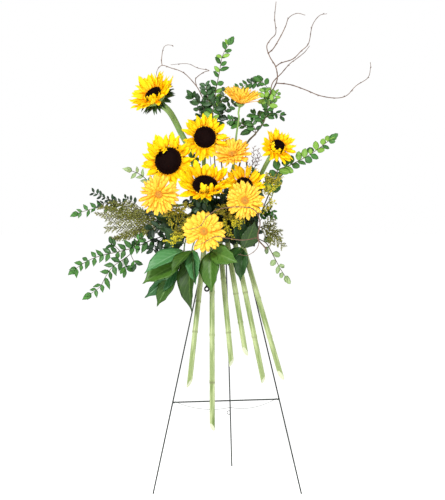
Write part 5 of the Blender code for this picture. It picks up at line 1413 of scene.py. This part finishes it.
def twig_leaves(surface, points, start, spacing, size, seed, pairs=0.94, slim=1.0):
    rng, extra = random.Random(seed), random.Random(seed + "_young")
    sites, end, ahead = sites_along(points, start, spacing)
    length, width = size
    leaves = []
    for i, (place, along, share) in enumerate(sites):
        face = front_face(rng, 0.45, -0.1, 0.75)
        grow = leaf_way(along, face, 1.0 if i % 2 else -1.0, 56.0 + rng.uniform(-12.0, 12.0),
                        rng.uniform(-0.15, 0.35))
        scale = (1.0 - 0.3 * share) * rng.uniform(0.85, 1.12)
        rng.random()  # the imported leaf's bend, which the shapes give here
        way = best_way(surface, place, grow.normalized(), face, along, length * scale,
                       (0.0, 25.0, -25.0, 50.0, -50.0), (1.0, 0.8))
        reach = length * scale * way[3]
        leaves.append((turned_frame(place, way[1], way[2]),
                       (width * scale * slim * 0.95, reach, reach), ageing(extra, share)))
    partners, _, _ = sites_along(points, max(0.06, start - 0.5 * spacing), spacing)
    for i, (place, along, share) in enumerate(partners):
        for sign, chance, reach in ((-1.0 if i % 2 else 1.0, pairs, extra.uniform(0.80, 1.02)),
                                    (1.0 if i % 2 else -1.0, pairs * 0.45,
                                     extra.uniform(0.45, 0.70))):
            if extra.random() > chance:
                continue
            face = front_face(extra, 0.6, -0.3, 0.9)
            grow = leaf_way(along, face, sign, extra.uniform(40.0, 66.0), extra.uniform(-0.3, 0.3))
            reach *= length * (1.0 - 0.30 * share)
            leaves.append((turned_frame(place, grow, face),
                           (reach * slim * extra.uniform(0.56, 0.66), reach, reach),
                           ageing(extra, share)))
    for turn in (0.0, 24.0, -22.0):
        face = Vector((0.1, -1.0, 0.3))
        grow = Matrix.Rotation(math.radians(turn), 3, face.normalized()) @ ahead
        reach = length * (0.8 if turn == 0.0 else 0.55)
        leaves.append((turned_frame(end - ahead * 0.001, grow, face), (reach * 0.55, reach, reach),
                       ageing(extra, 1.0)))
    return leaves


SPRAYS = table_in_metres({
    "huckleberry_tall": dict(
        hole=("top", -18, -26, 26), start=0.42, spacing=21, leaf=(38, 24),
        route=((-30, -28, 900), (-40, -30, 1047), (-35, -20, 1088), (-29, -10, 1135),
               (-20, 0, 1182), (-10, 0, 1235), (8, 0, 1268)),
        side=(), young=0.25),
    "huckleberry_crown_left": dict(
        hole=("top", -55, -22, 26), start=0.60, spacing=21, leaf=(35, 21),
        route=((-84, -8, 900), (-78, 14, 1000), (-75, 20, 1060), (-84, 16, 1094), (-99, 10, 1116)),
        side=(((-75, 20, 1058), (-55, 10, 1095), (-50, 0, 1125)),), finish=CROWN_GREEN),
    "huckleberry_crown_right": dict(
        hole=("top", 51, -22, 26), start=0.64, spacing=21.5, leaf=(35, 20),
        route=((60, -20, 900), (58, -20, 975), (87, -20, 1010), (110, -30, 1041), (121, -30, 1090),
               (127, -20, 1128), (105, 0, 1162)),
        side=(((87, -20, 1010), (55, -16, 1028), (26, -10, 1036)),)),
    "huckleberry_right": dict(
        hole=("right", -36, 34, 16), start=0.24, spacing=21, leaf=(39, 27),
        route=((134, -60, 860), (148, -62, 900), (180, -60, 914), (231, -55, 940), (264, -50, 962),
               (298, -50, 988)),
        side=(), young=0.35, slim=1.1),
    "huckleberry_left_high": dict(
        hole=("left", -26, 4, 14), start=0.60, spacing=21, leaf=(35, 21),
        route=((-175, -55, 760), (-218, -50, 776), (-262, -40, 793), (-306, -30, 799),
               (-350, -20, 796), (-388, -20, 790), (-428, -20, 778)),
        side=(), pairs=0.45, slim=0.8, shapes=POINTED_SHAPES),
    "huckleberry_left_small": dict(
        hole=("left", -26, 36, 14), start=0.36, spacing=20, leaf=(35, 21),
        route=((-160, -45, 800), (-206, -45, 845), (-228, -50, 874), (-250, -55, 891),
               (-270, -60, 899)),
        side=(), finish=PALE_GREEN, slim=0.8, pairs=0.8, shapes=POINTED_SHAPES),
    "huckleberry_left_low": dict(
        hole=("left", -40, -30, 14), start=0.32, spacing=21.5, leaf=(41, 22),
        route=((-155, -75, 716), (-180, -85, 712), (-218, -95, 699), (-255, -100, 683),
               (-293, -100, 672), (-357, -100, 657), (-394, -100, 642), (-424, -100, 622)),
        side=(((-255, -100, 683), (-276, -110, 658), (-316, -120, 630), (-337, -120, 603),
               (-354, -120, 572), (-380, -120, 552)),),
        slim=0.86, pairs=0.8, shapes=POINTED_SHAPES),
    "huckleberry_right_low": dict(
        hole=("front", 73, -36, 18), start=0.30, spacing=21, leaf=(36, 23),
        route=((94, -125, 705), (113, -122, 694), (125, -115, 674), (141, -110, 644),
               (153, -105, 622), (167, -100, 600)),
        side=(), finish=PALE_GREEN, pairs=0.35),
})


def twig_lines(spec, radius, end_radius, side_radius):
    lines = [tapered(rooted_route(spec["hole"], spec["route"]), radius, end_radius)]
    for points in spec["side"]:
        lines.append(tapered(smooth_path(points), side_radius, side_radius * 0.6))
    return lines


def make_spray(name, spec):
    surface = surface_of(name)
    _, mouth = hole_points(spec["hole"])
    pairs, slim = spec.get("pairs", 0.94), spec.get("slim", 1.0)
    leaves = twig_leaves(surface, [mouth, *spec["route"]], spec["start"], spec["spacing"],
                         spec["leaf"], name, pairs, slim)
    for k, points in enumerate(spec["side"]):
        leaves += twig_leaves(surface, points, 0.22, spec["spacing"], spec["leaf"], name + str(k),
                              pairs, slim)
    twigs = skinned(twig_lines(spec, 0.0018, 0.0008, 0.0012), TWIG_BROWN, sides=8)
    draw = random.Random(name + "_pick")
    picks = [draw.random() < spec.get("young", 0.0) for _ in leaves]
    young = [leaf for leaf, pick in zip(leaves, picks) if pick]
    grown = [leaf for leaf, pick in zip(leaves, picks) if not pick]
    shapes = spec.get("shapes", LEAF_SHAPES)
    meshes = [twigs, bladed(grown, shapes, spec.get("finish", LEAF_GREEN), seed=13)]
    if young:
        meshes.append(bladed(young, shapes, YOUNG_GREEN, seed=15))
    finished(name + "_sprig", meshes, [name])
    return len(leaves)


make_all("huckleberry leaves", SPRAYS, make_spray)

# %% [markdown]
# The real bunch is fuller than the imported one. More twigs of the same plant fill the crown and the
# dark hollows between the blooms. Each starts inside the foam or inside a twig that is there
# already, so none of them hangs free. Those deep in the bunch get a near-black green, which is
# painted shade.

# %% Twigs that fill the bunch
FILLERS = {
    "crown": dict(finish=CROWN_GREEN, leaf=(29, 18), twigs=(
        (("top", -30, -10), ((-46, 4, 940), (-47, 8, 1030), (-62, 4, 1078), (-84, 0, 1106)), 0.55),
        ((-49, 8, 1036), ((-55, 2, 1085), (-52, -4, 1118), (-46, -6, 1136)), 0.1),
        ((-46, 7, 1020), ((-24, 0, 1050), (0, -6, 1076), (22, -10, 1096)), 0.1),
        ((-38, -24, 1070), ((-16, -18, 1100), (0, -12, 1128)), 0.15),
        ((-36, -20, 1085), ((-52, -20, 1110), (-58, -16, 1146)), 0.15))),
    "crown_right": dict(finish=LEAF_GREEN, leaf=(26, 16), twigs=(
        ((106, -1, 1160), ((86, 0, 1158), (62, 0, 1152), (36, 0, 1140)), 0.05),
        ((114, -30, 1052), ((134, -34, 1066), (160, -34, 1058)), 0.15),
        ((110, -30, 1041), ((96, -26, 1056), (78, -22, 1064)), 0.15),
        ((86, -20, 1010), ((82, -24, 1026), (74, -26, 1040)), 0.3),
        ((60, -16, 1026), ((38, -12, 1044), (14, -10, 1048)), 0.1))),
    "crown_young": dict(finish=YOUNG_GREEN, leaf=(30, 19), twigs=(
        ((121, -30, 1085), ((134, -34, 1104), (146, -32, 1122)), 0.1),
        ((123, -28, 1098), ((112, -34, 1112), (112, -36, 1128)), 0.1))),
    "heart": dict(finish=SHADE_GREEN, leaf=(34, 22), twigs=(
        (("front", -18, 30), ((-12, -128, 800), (-4, -140, 815), (4, -146, 826)), 0.1),
        (("front", -20, 4), ((-22, -134, 772), (-14, -150, 790), (6, -158, 796)), 0.1),
        (("front", -30, 4), ((-40, -148, 778), (-56, -170, 784), (-74, -176, 792)), 0.15),
        (("front", 14, 12), ((16, -132, 784), (22, -146, 772), (34, -150, 754)), 0.1),
        (("front", -66, 6), ((-80, -130, 782), (-92, -150, 800), (-100, -160, 812)), 0.1),
        (("front", -68, -20), ((-84, -130, 752), (-104, -150, 758), (-128, -156, 750)), 0.1),
        (("front", 14, -22), ((16, -126, 748), (14, -140, 728), (10, -150, 706)), 0.1),
        (("front", 60, 30), ((64, -130, 808), (70, -140, 824), (88, -140, 832)), 0.1),
        (("front", 58, -16), ((62, -128, 766), (72, -138, 746), (84, -138, 728)), 0.1))),
    "left_shade": dict(finish=SHADE_GREEN, leaf=(38, 19), twigs=(
        (("left", -40, 6), ((-140, -88, 752), (-164, -100, 764), (-190, -108, 776),
                            (-214, -112, 790)), 0.15),
        ((-128, -84, 747), ((-160, -104, 746), (-190, -116, 742), (-212, -120, 732)), 0.1),
        (("left", -20, -26), ((-140, -70, 716), (-160, -90, 702), (-174, -108, 684),
                              (-180, -116, 664)), 0.2),
        ((-150, -80, 709), ((-178, -98, 708), (-196, -106, 694), (-204, -110, 676)), 0.1))),
    "between": dict(finish=LEAF_GREEN, leaf=(22, 13), twigs=(
        (("top", 60, -50), ((64, -60, 852), (70, -66, 880), (80, -70, 894)), 0.45),
        ((70, -66, 880), ((84, -70, 884), (96, -72, 880)), 0.1),
        (("right", -50, 10), ((116, -96, 782), (124, -112, 790), (132, -118, 782),
                              (134, -120, 770)), 0.3),
        ((-83.5, -6, 905), ((-90, -20, 926), (-98, -30, 950)), 0.2),
        ((-262, -100, 681), ((-250, -108, 700), (-236, -110, 708)), 0.1))),
    "left_low": dict(finish=LEAF_GREEN, leaf=(36, 17), twigs=(
        ((-270, -108, 664), ((-262, -116, 648), (-254, -118, 636)), 0.7),
        ((-292, -114, 647), ((-288, -120, 632), (-282, -122, 622)), 0.8),
        ((-300, -100, 671), ((-312, -106, 684), (-322, -108, 690)), 0.7))),
    "left_top": dict(finish=SHADE_GREEN, leaf=(23, 11), twigs=(
        ((-262, -40, 793), ((-300, -38, 808), (-342, -36, 820), (-380, -36, 836)), 0.25),
        ((-240, -45, 785), ((-262, -44, 806), (-288, -42, 820)), 0.5),
        ((-306, -30, 799), ((-330, -36, 806), (-362, -38, 804)), 0.2))),
}


def twig_path(root, route):
    """The path of a twig that starts in a face of the foam, or at a point on another twig."""
    root, route = in_metres(root), in_metres(route)
    if isinstance(root[0], str):
        return rooted_route((*root, 0.012), route)
    return smooth_path([root, *route])


def make_filler(name, spec):
    rng, lines, leaves = random.Random(name), [], []
    length, width = in_metres(spec["leaf"])
    for root, route, start in spec["twigs"]:
        path = twig_path(root, route)
        lines.append(tapered(path, 0.0011, 0.0006))
        sites, end, ahead = sites_along(path, start, length * 0.52)
        for place, along, share in sites + [(end, ahead, 1.0)]:
            for sign in (1.0, -1.0):
                face = front_face(rng, 0.7, -0.4, 0.9)
                grow = leaf_way(along, face, sign, rng.uniform(38.0, 68.0), rng.uniform(-0.3, 0.3))
                reach = length * rng.uniform(0.72, 1.08) * (1.0 - 0.25 * share)
                leaves.append((turned_frame(place, grow, face),
                               (reach * width / length * rng.uniform(0.9, 1.1), reach, reach),
                               rng.random()))
    meshes = [skinned(lines, TWIG_BROWN, sides=6),
              bladed(leaves, LEAF_SHAPES, spec["finish"], seed=29)]
    finished(name + "_filler", meshes, [])
    return len(leaves)


make_all("filler leaves", FILLERS, make_filler)

# %% [markdown]
# Salal leaves are broad and leathery, folded a little along the rib. Each of the fourteen has a
# short stem of its own, so a line runs from the twig into the leaf's root before the leaf is
# placed. Some show their olive upper side, some a bluer green, and some sit in the shade: each
# spray's list says, leaf by leaf.

# %% Salal
SALAL = table_in_metres({
    "salal_left": dict(
        hole=("front", -81, -36, 16),
        route=((-112, -135, 706), (-118, -142, 674), (-122, -143, 642), (-142, -130, 612)),
        colours=(1, 0, 1, 0, 2),
        leaves=(((-118, -142, 674), (-227, -172, 609), 54, (-0.1, -1.0, 0.3)),
                ((-122, -143, 643), (-232, -152, 580), 66, (-0.1, -1.0, 0.1)),
                ((-132, -137, 626), (-229, -122, 541), 42, (-0.2, -1.0, 0.3)),
                ((-142, -130, 613), (-192, -140, 517), 44, (0.3, -1.0, 0.2)),
                ((-120, -138, 695), (-172, -150, 740), 42, (-0.2, -1.0, 0.3)))),
    "salal_centre": dict(
        hole=("front", -65, -44, 16), route=((-92, -150, 690), (-96, -165, 672)), colours=(3, 1, 0),
        leaves=(((-95, -163, 674), (-92, -178, 502), 60, (-0.25, -1.0, 0.1)),
                ((-94, -160, 678), (-83, -204, 582), 40, (0.30, -1.0, 0.2)),
                ((-95, -163, 675), (-150, -205, 612), 42, (-0.2, -1.0, 0.4)))),
    "salal_front": dict(
        hole=("front", -25, -44, 16), route=((-40, -155, 688), (-42, -168, 672)), colours=(0, 0),
        leaves=(((-42, -167, 674), (-38, -195, 560), 56, (0.1, -1.0, 0.25)),
                ((-42, -167, 674), (32, -220, 644), 54, (0.2, -1.0, 0.5)))),
    "salal_right": dict(
        hole=("front", 28, -44, 16), route=((40, -150, 690), (46, -162, 680)), colours=(2, 3, 2, 2),
        leaves=(((45, -161, 681), (40, -175, 592), 40, (0.3, -1.0, 0.1)),
                ((46, -162, 680), (78, -172, 757), 54, (0.2, -1.0, 0.2)),
                ((42, -155, 686), (26, -155, 778), 44, (0.0, -1.0, 0.0)),
                ((43, -157, 685), (8, -185, 634), 44, (-0.3, -1.0, 0.4)))),
})


def make_salal(name, spec):
    surface, rng = surface_of(name), random.Random(name)
    leaves = ([], [], [], [])
    lines = [tapered(rooted_route(spec["hole"], spec["route"]), 0.0022, 0.0014)]
    for (root, tip, width, face), colour in zip(spec["leaves"], spec["colours"]):
        root, tip, face = Vector(in_metres(root)), Vector(in_metres(tip)), Vector(face)
        run = tip - root
        way = best_way(surface, root, run.normalized(), face, run.normalized(), run.length * 1.03,
                       (0.0, 14.0, -14.0, 28.0, -28.0), (1.0, 0.88, 0.76), 0.22)
        reach = run.length * max(way[3], 0.96)
        lines.append(tapered([root - way[1] * 0.004, root + way[1] * 0.004, root + way[1] * 0.012],
                             0.0013, 0.0008))
        leaves[colour].append((turned_frame(root + way[1] * 0.004, way[1], way[2]),
                               (in_metres(width) * 1.10, reach, reach), rng.random()))
    meshes = [skinned(lines, SALAL_STALK, sides=10)]
    for some, leaf_colour in zip(leaves, (SALAL_GREEN, SALAL_BLUE, SALAL_SHADED, SALAL_OLIVE)):
        if some:
            meshes.append(bladed(some, BROAD_SHAPES, leaf_colour, seed=17))
    finished(name + "_spray", meshes, [name])
    return len(spec["leaves"])


make_all("salal leaves", SALAL, make_salal)

# %% [markdown]
# Three more leaves lie behind the goldenrod on the left, and close the gap beside the foam. They
# have the shaded salal green, which paints the shade that falls there.
# Each has its stalk in the end of the block.

# %% Leaves in the shade
SHADE_LEAVES = (
    (("left", -58, -4, 12), (-116, -124, 746), (-206, -140, 782), 50, (-0.1, -1.0, 0.5)),
    (("left", -56, -20, 12), (-112, -122, 728), (-196, -136, 744), 46, (-0.2, -1.0, 0.3)),
    (("left", -50, -34, 12), (-118, -110, 712), (-182, -122, 668), 44, (-0.3, -1.0, 0.2)),
)
lines, leaves = [], []
for hole, root, tip, width, face in SHADE_LEAVES:
    root, tip, width = Vector(in_metres(root)), Vector(in_metres(tip)), in_metres(width)
    run = tip - root
    lines.append(tapered(rooted_route(in_metres(hole), [root, root + run * 0.06]), 0.0016, 0.0009))
    leaves.append((turned_frame(root, run, Vector(face)), (width, run.length, run.length),
                   0.3 + 0.2 * len(leaves)))
meshes = [skinned(lines, SALAL_STALK, sides=8), bladed(leaves, BROAD_SHAPES, SALAL_SHADED, seed=21)]
finished("salal_shade_leaves", meshes, [])
print(len(leaves), "leaves in the shade")

# %% [markdown]
# The two plumes are as fine as fern: a twig with twiglets, and every twiglet dense with needles a
# few millimetres long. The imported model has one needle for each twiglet. Here each is a thin line,
# and pairs of short needles are set along it.

# %% Plumes
PLUMES = table_in_metres({
    "plume_left": dict(
        hole=("left", -60, -6, 14),
        route=((-150, -90, 744), (-200, -86, 742), (-270, -78, 738), (-342, -70, 734)),
        side=(((-190, -87, 742), (-260, -88, 722), (-320, -90, 704)),
              ((-180, -87, 742), (-240, -76, 764), (-305, -66, 784), (-360, -62, 794)))),
    "plume_right": dict(
        hole=("front", 83, -10, 16),
        route=((106, -125, 735), (122, -125, 722), (142, -120, 705), (160, -115, 686)),
        side=(((118, -125, 726), (134, -120, 731), (152, -115, 724)),)),
})
FINE_BRANCHES = {
    "plume_left": (
        ((-215, -85, 741), (-262, -92, 728), (-324, -92, 702)),
        ((-200, -86, 742), (-250, -96, 718), (-299, -96, 706)),
        ((-200, -82, 750), (-272, -70, 778), (-340, -62, 792)),
        ((-225, -78, 758), (-290, -66, 766), (-344, -64, 762)),
        ((-165, -88, 743), (-205, -92, 762), (-252, -86, 786)),
        ((-160, -88, 743), (-196, -104, 730), (-236, -106, 722)),
        ((-190, -82, 750), (-240, -72, 784), (-290, -60, 812)),
        ((-230, -78, 761), (-280, -68, 792), (-334, -56, 812)),
        ((-250, -74, 768), (-312, -72, 772), (-372, -66, 776)),
        ((-215, -83, 744), (-270, -84, 752), (-330, -80, 752))),
    "plume_right": (
        ((122, -125, 722), (136, -128, 718), (154, -124, 706)),
        ((112, -125, 731), (126, -130, 742), (140, -126, 746)),
        ((106, -125, 735), (116, -132, 752), (132, -132, 762)),
        ((112, -125, 731), (118, -130, 712), (128, -130, 692))),
}


def needle_finish(name, dark, bright):
    finish = Finish(name, 0.6)
    tone, along = finish.attribute("tone"), finish.attribute("along")
    finish.paint(finish.mix((tone * 0.8 + along * 0.35 - 0.1).clamped(), dark, bright),
                 0.5 + finish.noise(900.0) * 0.2)
    finish.bump(finish.noise(1200.0), 0.2, 0.0002)
    return finish.material


PLUME_GREEN = needle_finish("plume_needle", (0.042, 0.045, 0.010), (0.40, 0.42, 0.05))
MIST_GREY = needle_finish("mist_bud", (0.07, 0.045, 0.040), (0.36, 0.28, 0.26))
NEEDLE_STEP, NEEDLE_WIDTH = 0.0024, 0.0019


def plume_twig(points, start, reach, seed, spacing=0.0046):
    """Twiglets along one twig, and the needles on each."""
    rng = random.Random(seed)
    lines, needles = [], []
    sites, _, _ = sites_along(points, start, spacing)
    for i, (place, along, share) in enumerate(sites):
        face = front_face(rng, 0.6, -0.5, 0.9)
        side = along.cross(face).normalized() * (1.0 if i % 2 else -1.0)
        grow = (along * rng.uniform(0.6, 1.0) + side * 0.7 + face.normalized()
                * rng.uniform(-0.4, 0.4)).normalized()
        size = reach * (1.0 - 0.5 * share) * rng.uniform(0.65, 1.1)
        tip = place + grow * size + Vector((0.0, 0.0, -0.08 * size))
        middle = place.lerp(tip, 0.5) + face.normalized() * 0.05 * size
        lines.append(tapered([place, middle, tip], 0.0006, 0.0003))
        for step in range(int(size / NEEDLE_STEP)):
            t = step * NEEDLE_STEP / size
            spot = place.lerp(middle, t * 2.0) if t < 0.5 else middle.lerp(tip, t * 2.0 - 1.0)
            for sign in (1.0, -1.0):
                out = (grow * 0.9 + grow.cross(face).normalized() * sign * 0.8
                       + any_way(rng, -0.5, 0.5)).normalized()
                tall = rng.uniform(0.0040, 0.0078) * (1.0 - 0.4 * t)
                needles.append((upright(spot, out), (NEEDLE_WIDTH, NEEDLE_WIDTH, tall),
                                rng.random()))
    return lines, needles


def make_plume(name, spec):
    _, mouth = hole_points(spec["hole"])
    lines = twig_lines(spec, 0.0016, 0.0006, 0.0010)
    more, needles = plume_twig([mouth, *spec["route"]], 0.22, 0.034, name)
    lines += more
    for k, points in enumerate(spec["side"]):
        more, fine = plume_twig(points, 0.12, 0.029, name + str(k))
        lines += more
        needles += fine
    for k, points in enumerate(in_metres(FINE_BRANCHES[name])):
        lines.append(tapered(smooth_path(points), 0.0009, 0.0005))
        more, fine = plume_twig(points, 0.12, 0.024, name + "_fine" + str(k))
        lines += more
        needles += fine
    meshes = [skinned(lines, OLIVE_TWIG, sides=5),
              bladed(needles, NEEDLE_SHAPES, PLUME_GREEN, seed=19)]
    finished(name + "_fern", meshes, [name])
    return len(needles)


make_all("needles", PLUMES, make_plume)

# %% [markdown]
# Between the blooms on the right rises a mist of thin dry twigs with tiny grey buds. It is the same
# growth as a plume, but open: few twiglets, each with a few buds.

# %% Mist
MIST = (
    (("top", 66, -54), ((70, -64, 860), (74, -66, 900), (78, -66, 940), (80, -64, 968)), 0.4),
    ((74, -66, 898), ((88, -70, 918), (98, -72, 944)), 0.05),
    ((73, -66, 890), ((62, -70, 914), (58, -70, 938)), 0.05),
    ((76, -66, 918), ((90, -68, 940), (92, -66, 964)), 0.05),
)


def make_mist():
    lines, buds = [], []
    for k, (root, route, start) in enumerate(MIST):
        path = twig_path(root, route)
        lines.append(tapered(path, 0.0009, 0.0005))
        more, fine = plume_twig(path, start, 0.018, "mist" + str(k), 0.0062)
        lines += more
        buds += fine[::3]
    meshes = [skinned(lines, MIST_TWIG, sides=5), bladed(buds, FLORET_SHAPES, MIST_GREY, seed=31)]
    finished("mist_filler", meshes, [])
    return len(buds)


print("mist buds:", make_mist())

# %% [markdown]
# Goldenrod carries hundreds of flower heads, each smaller than a grain of rice, close round its
# branches. They are scattered round each branch by a seeded rule. The lowest of each head have
# opened, and are brighter than the rest.

# %% Goldenrod
GOLDENROD = table_in_metres({
    "goldenrod_left": dict(
        hole=("front", -83, 14, 16),
        route=((-112, -128, 772), (-132, -150, 782), (-142, -160, 806)),
        side=(((-128, -146, 779), (-150, -158, 770), (-158, -168, 756)),
              ((-114, -130, 773), (-122, -150, 752), (-130, -162, 732)),
              ((-130, -148, 780), (-118, -162, 792), (-112, -172, 800)))),
    "goldenrod_middle": dict(
        hole=("front", 0, -2, 16), route=((0, -130, 765), (0, -150, 780), (-4, -165, 800)),
        side=(((0, -140, 773), (12, -160, 765), (30, -172, 745)),
              ((0, -130, 765), (-4, -155, 745), (4, -172, 725)),
              ((0, -146, 777), (-14, -165, 782), (-22, -180, 790)))),
    "goldenrod_right": dict(
        hole=("right", -62, 36, 14), route=((130, -98, 825), (132, -98, 860), (128, -94, 888)),
        side=(((131, -98, 845), (142, -100, 860), (150, -104, 880)),
              ((130, -98, 828), (118, -106, 838), (112, -112, 850)),
              ((131, -98, 850), (122, -106, 868), (112, -108, 884)))),
})
# how many fine branches, their reach, the height under which florets are open, and more branches
ROD_TUFTS = {
    "goldenrod_left": (40, 30, 719, (
        ((-122, -140, 750), (-130, -160, 722), (-136, -172, 700)),
        ((-126, -150, 736), (-142, -166, 716), (-146, -172, 694)),
        ((-120, -142, 776), (-104, -160, 768), (-96, -168, 756)),
        ((-132, -150, 782), (-152, -150, 796), (-168, -154, 790)))),
    "goldenrod_middle": (30, 26, 762, (
        ((6, -150, 770), (22, -168, 786), (30, -176, 800)),
        ((6, -152, 768), (26, -166, 760), (44, -172, 752)))),
    "goldenrod_right": (20, 24, 860, (((130, -98, 826), (126, -106, 806), (118, -110, 790)),)),
}
ROD_YELLOW = needle_finish("goldenrod_floret", (0.10, 0.10, 0.008), (0.72, 0.60, 0.03))
ROD_BRIGHT = needle_finish("goldenrod_open_floret", (0.34, 0.34, 0.010), (1.0, 0.86, 0.03))
ROD_GREEN = stem_finish("goldenrod_stalk", (0.10, 0.17, 0.03), (0.24, 0.32, 0.08),
                        (0.14, 0.10, 0.04), 0.6)


def rod_florets(points, start, seed):
    rng = random.Random(seed)
    lines, florets = [], []
    sites, _, _ = sites_along(points, start, 0.0021)
    for place, along, share in sites:
        off = along.cross(any_way(rng)).normalized()
        reach = rng.uniform(0.002, 0.008) * (1.0 - 0.25 * share)
        tip = place + off * reach + along * reach * 0.5
        lines.append(tapered([place, tip], 0.00035, 0.00025))
        for _ in range(3):
            spot = tip + any_way(rng, -0.0022, 0.0022)
            size = rng.uniform(0.0018, 0.0030)
            florets.append((upright(spot, off + along * 0.5), (size, size, size * 1.3),
                            rng.random()))
    return lines, florets


def tuft_branches(spec, count, reach, more, seed):
    """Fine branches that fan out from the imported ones, towards the front and up."""
    rng = random.Random(seed + "_tuft")
    yield from more
    stems = [spec["route"], *spec["side"], *more]
    for k in range(count):
        sites, _, _ = sites_along(stems[k % len(stems)], 0.25, 0.004)
        place, along, share = sites[rng.randrange(len(sites))]
        out = Vector((rng.uniform(-1.0, 1.0), rng.uniform(-0.9, 0.1),
                      rng.uniform(-0.7, 0.8))).normalized()
        way = (along * 0.6 + out).normalized() * reach * rng.uniform(0.5, 1.0)
        yield (place, place + way * 0.5 + Vector((0.0, 0.0, 0.001)), place + way)


def make_goldenrod(name, spec):
    lines = twig_lines(spec, 0.0018, 0.0009, 0.0011)
    count, *lengths = ROD_TUFTS[name]
    reach, bright_below, more = in_metres(lengths)
    fine = list(tuft_branches(spec, count, reach, more, name))
    lines += [tapered([Vector(p) for p in points], 0.0006, 0.0004) for points in fine]
    florets = []
    for k, points in enumerate([spec["route"], *spec["side"], *fine]):
        twigs, heads = rod_florets(points, 0.1, name + str(k))
        lines += twigs
        florets += heads
    bright = [head for head in florets if head[0].translation.z < bright_below]
    dull = [head for head in florets if head[0].translation.z >= bright_below]
    meshes = [skinned(lines, ROD_GREEN, sides=5), bladed(dull, FLORET_SHAPES, ROD_YELLOW, seed=23),
              bladed(bright, FLORET_SHAPES, ROD_BRIGHT, seed=27)]
    finished(name + "_heads", meshes, [name])
    return len(florets)


make_all("florets", GOLDENROD, make_goldenrod)

# %% [markdown]
# Curly willow is a smooth bare twig with a bud every few centimetres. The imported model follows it
# in short straight spans, and the same points give a smooth curve here.

# %% Willow
WILLOWS = table_in_metres({
    "willow_right": dict(
        hole=("top", 32, -18, 28), radius=2.6,
        route=((36, -12, 890), (45, 4, 940), (60, 16, 980), (88, 22, 1012), (109, 32, 1045),
               (121, 50, 1100), (136, 60, 1136), (149, 68, 1163), (153, 70, 1185), (147, 72, 1214),
               (131, 80, 1242), (122, 90, 1274), (134, 100, 1297), (150, 110, 1318),
               (147, 125, 1365), (152, 140, 1416)),
        side=(((127, 82, 1254), (143, 90, 1270), (165, 100, 1308), (180, 115, 1340),
               (190, 128, 1366), (215, 140, 1381), (241, 150, 1377)),
              ((148, 72, 1212), (164, 80, 1224), (200, 100, 1238), (226, 120, 1264),
               (250, 132, 1290), (262, 148, 1345), (285, 166, 1378), (309, 180, 1386)),
              ((131, 58, 1128), (138, 52, 1162), (165, 62, 1192), (190, 88, 1222), (212, 108, 1240),
               (237, 135, 1262), (254, 150, 1284)),
              ((149, 68, 1163), (192, 95, 1161), (240, 140, 1150), (288, 175, 1135),
               (340, 210, 1131), (375, 228, 1141), (405, 246, 1172), (443, 256, 1198),
               (452, 262, 1230), (452, 264, 1248)))),
    "willow_left": dict(
        hole=("top", -3, -18, 28), radius=2,
        route=((-10, 0, 900), (-22, 22, 980), (-37, 34, 1049), (-57, 40, 1094), (-72, 42, 1124),
               (-87, 46, 1152), (-124, 60, 1192), (-163, 80, 1209), (-190, 90, 1218),
               (-204, 90, 1205), (-208, 90, 1186)),
        side=(((-86, 46, 1150), (-89, 50, 1174), (-65, 56, 1194), (-50, 62, 1200), (-83, 72, 1208),
               (-115, 90, 1223), (-165, 100, 1221)),
              ((-190, 90, 1217), (-192, 94, 1235), (-188, 105, 1268), (-178, 110, 1281),
               (-158, 110, 1280)))),
    "willow_low": dict(
        hole=("right", -60, -43, 14), radius=2,
        route=((113, -135, 678), (100, -185, 692), (86, -215, 712), (92, -235, 755),
               (74, -250, 790), (30, -255, 796), (-20, -250, 790), (-52, -255, 770),
               (-70, -262, 745), (-100, -255, 735)),
        side=(((86, -215, 712), (45, -240, 706), (0, -250, 712), (-30, -262, 716), (-60, -268, 700),
               (-86, -262, 690)),
              ((87, -219, 721), (89, -225, 700), (82, -222, 680), (58, -222, 664),
               (32, -226, 667)))),
})


def bark_line(path, radius, end_radius, seed):
    """A twig that thickens a little at each bud, with its buds as short thick lines."""
    rng = random.Random(seed)
    radii, knots, buds = [], [], []
    at, gone = rng.uniform(0.01, 0.03), 0.0
    for i, place in enumerate(path):
        gone += (place - path[i - 1]).length if i else 0.0
        radius_here = radius + (end_radius - radius) * i / (len(path) - 1)
        bump = 0.0
        if gone > at and 0 < i < len(path) - 1:
            at = gone + rng.uniform(0.020, 0.038)
            along = (path[i + 1] - place).normalized()
            out = along.cross(any_way(rng)).normalized()
            base = place + out * radius_here * 0.5
            tip = base + (along * 0.9 + out * 0.55).normalized() * rng.uniform(0.0040, 0.0062)
            middle = base.lerp(tip, 0.45) + out * 0.0003
            buds.append(([base, middle, tip], [0.0009, 0.0011, 0.0002], [0.0, 0.4, 0.8]))
            bump = 0.22
        radii.append(radius_here * (1.0 + bump))
        knots.append(bump * 2.0)
    return [(path, radii, knots)] + buds


def make_willow(name, spec):
    radius = spec["radius"]
    lines = bark_line(rooted_route(spec["hole"], spec["route"]), radius, radius * 0.36, name)
    for k, points in enumerate(spec["side"]):
        lines += bark_line(smooth_path(points), radius * 0.62, radius * 0.30, name + str(k))
    finished(name + "_twig", [skinned(lines, BARK, sides=10)], [name])
    return len(lines)


make_all("willow lines", WILLOWS, make_willow)

# %% [markdown]
# The last cell measures what was made: it counts the pieces and their triangles.

# %% Pieces and triangles
triangles = 0
for piece in MADE:
    piece.data.calc_loop_triangles()
    triangles += len(piece.data.loop_triangles)
print("pieces:", len(MADE), "triangles:", triangles)
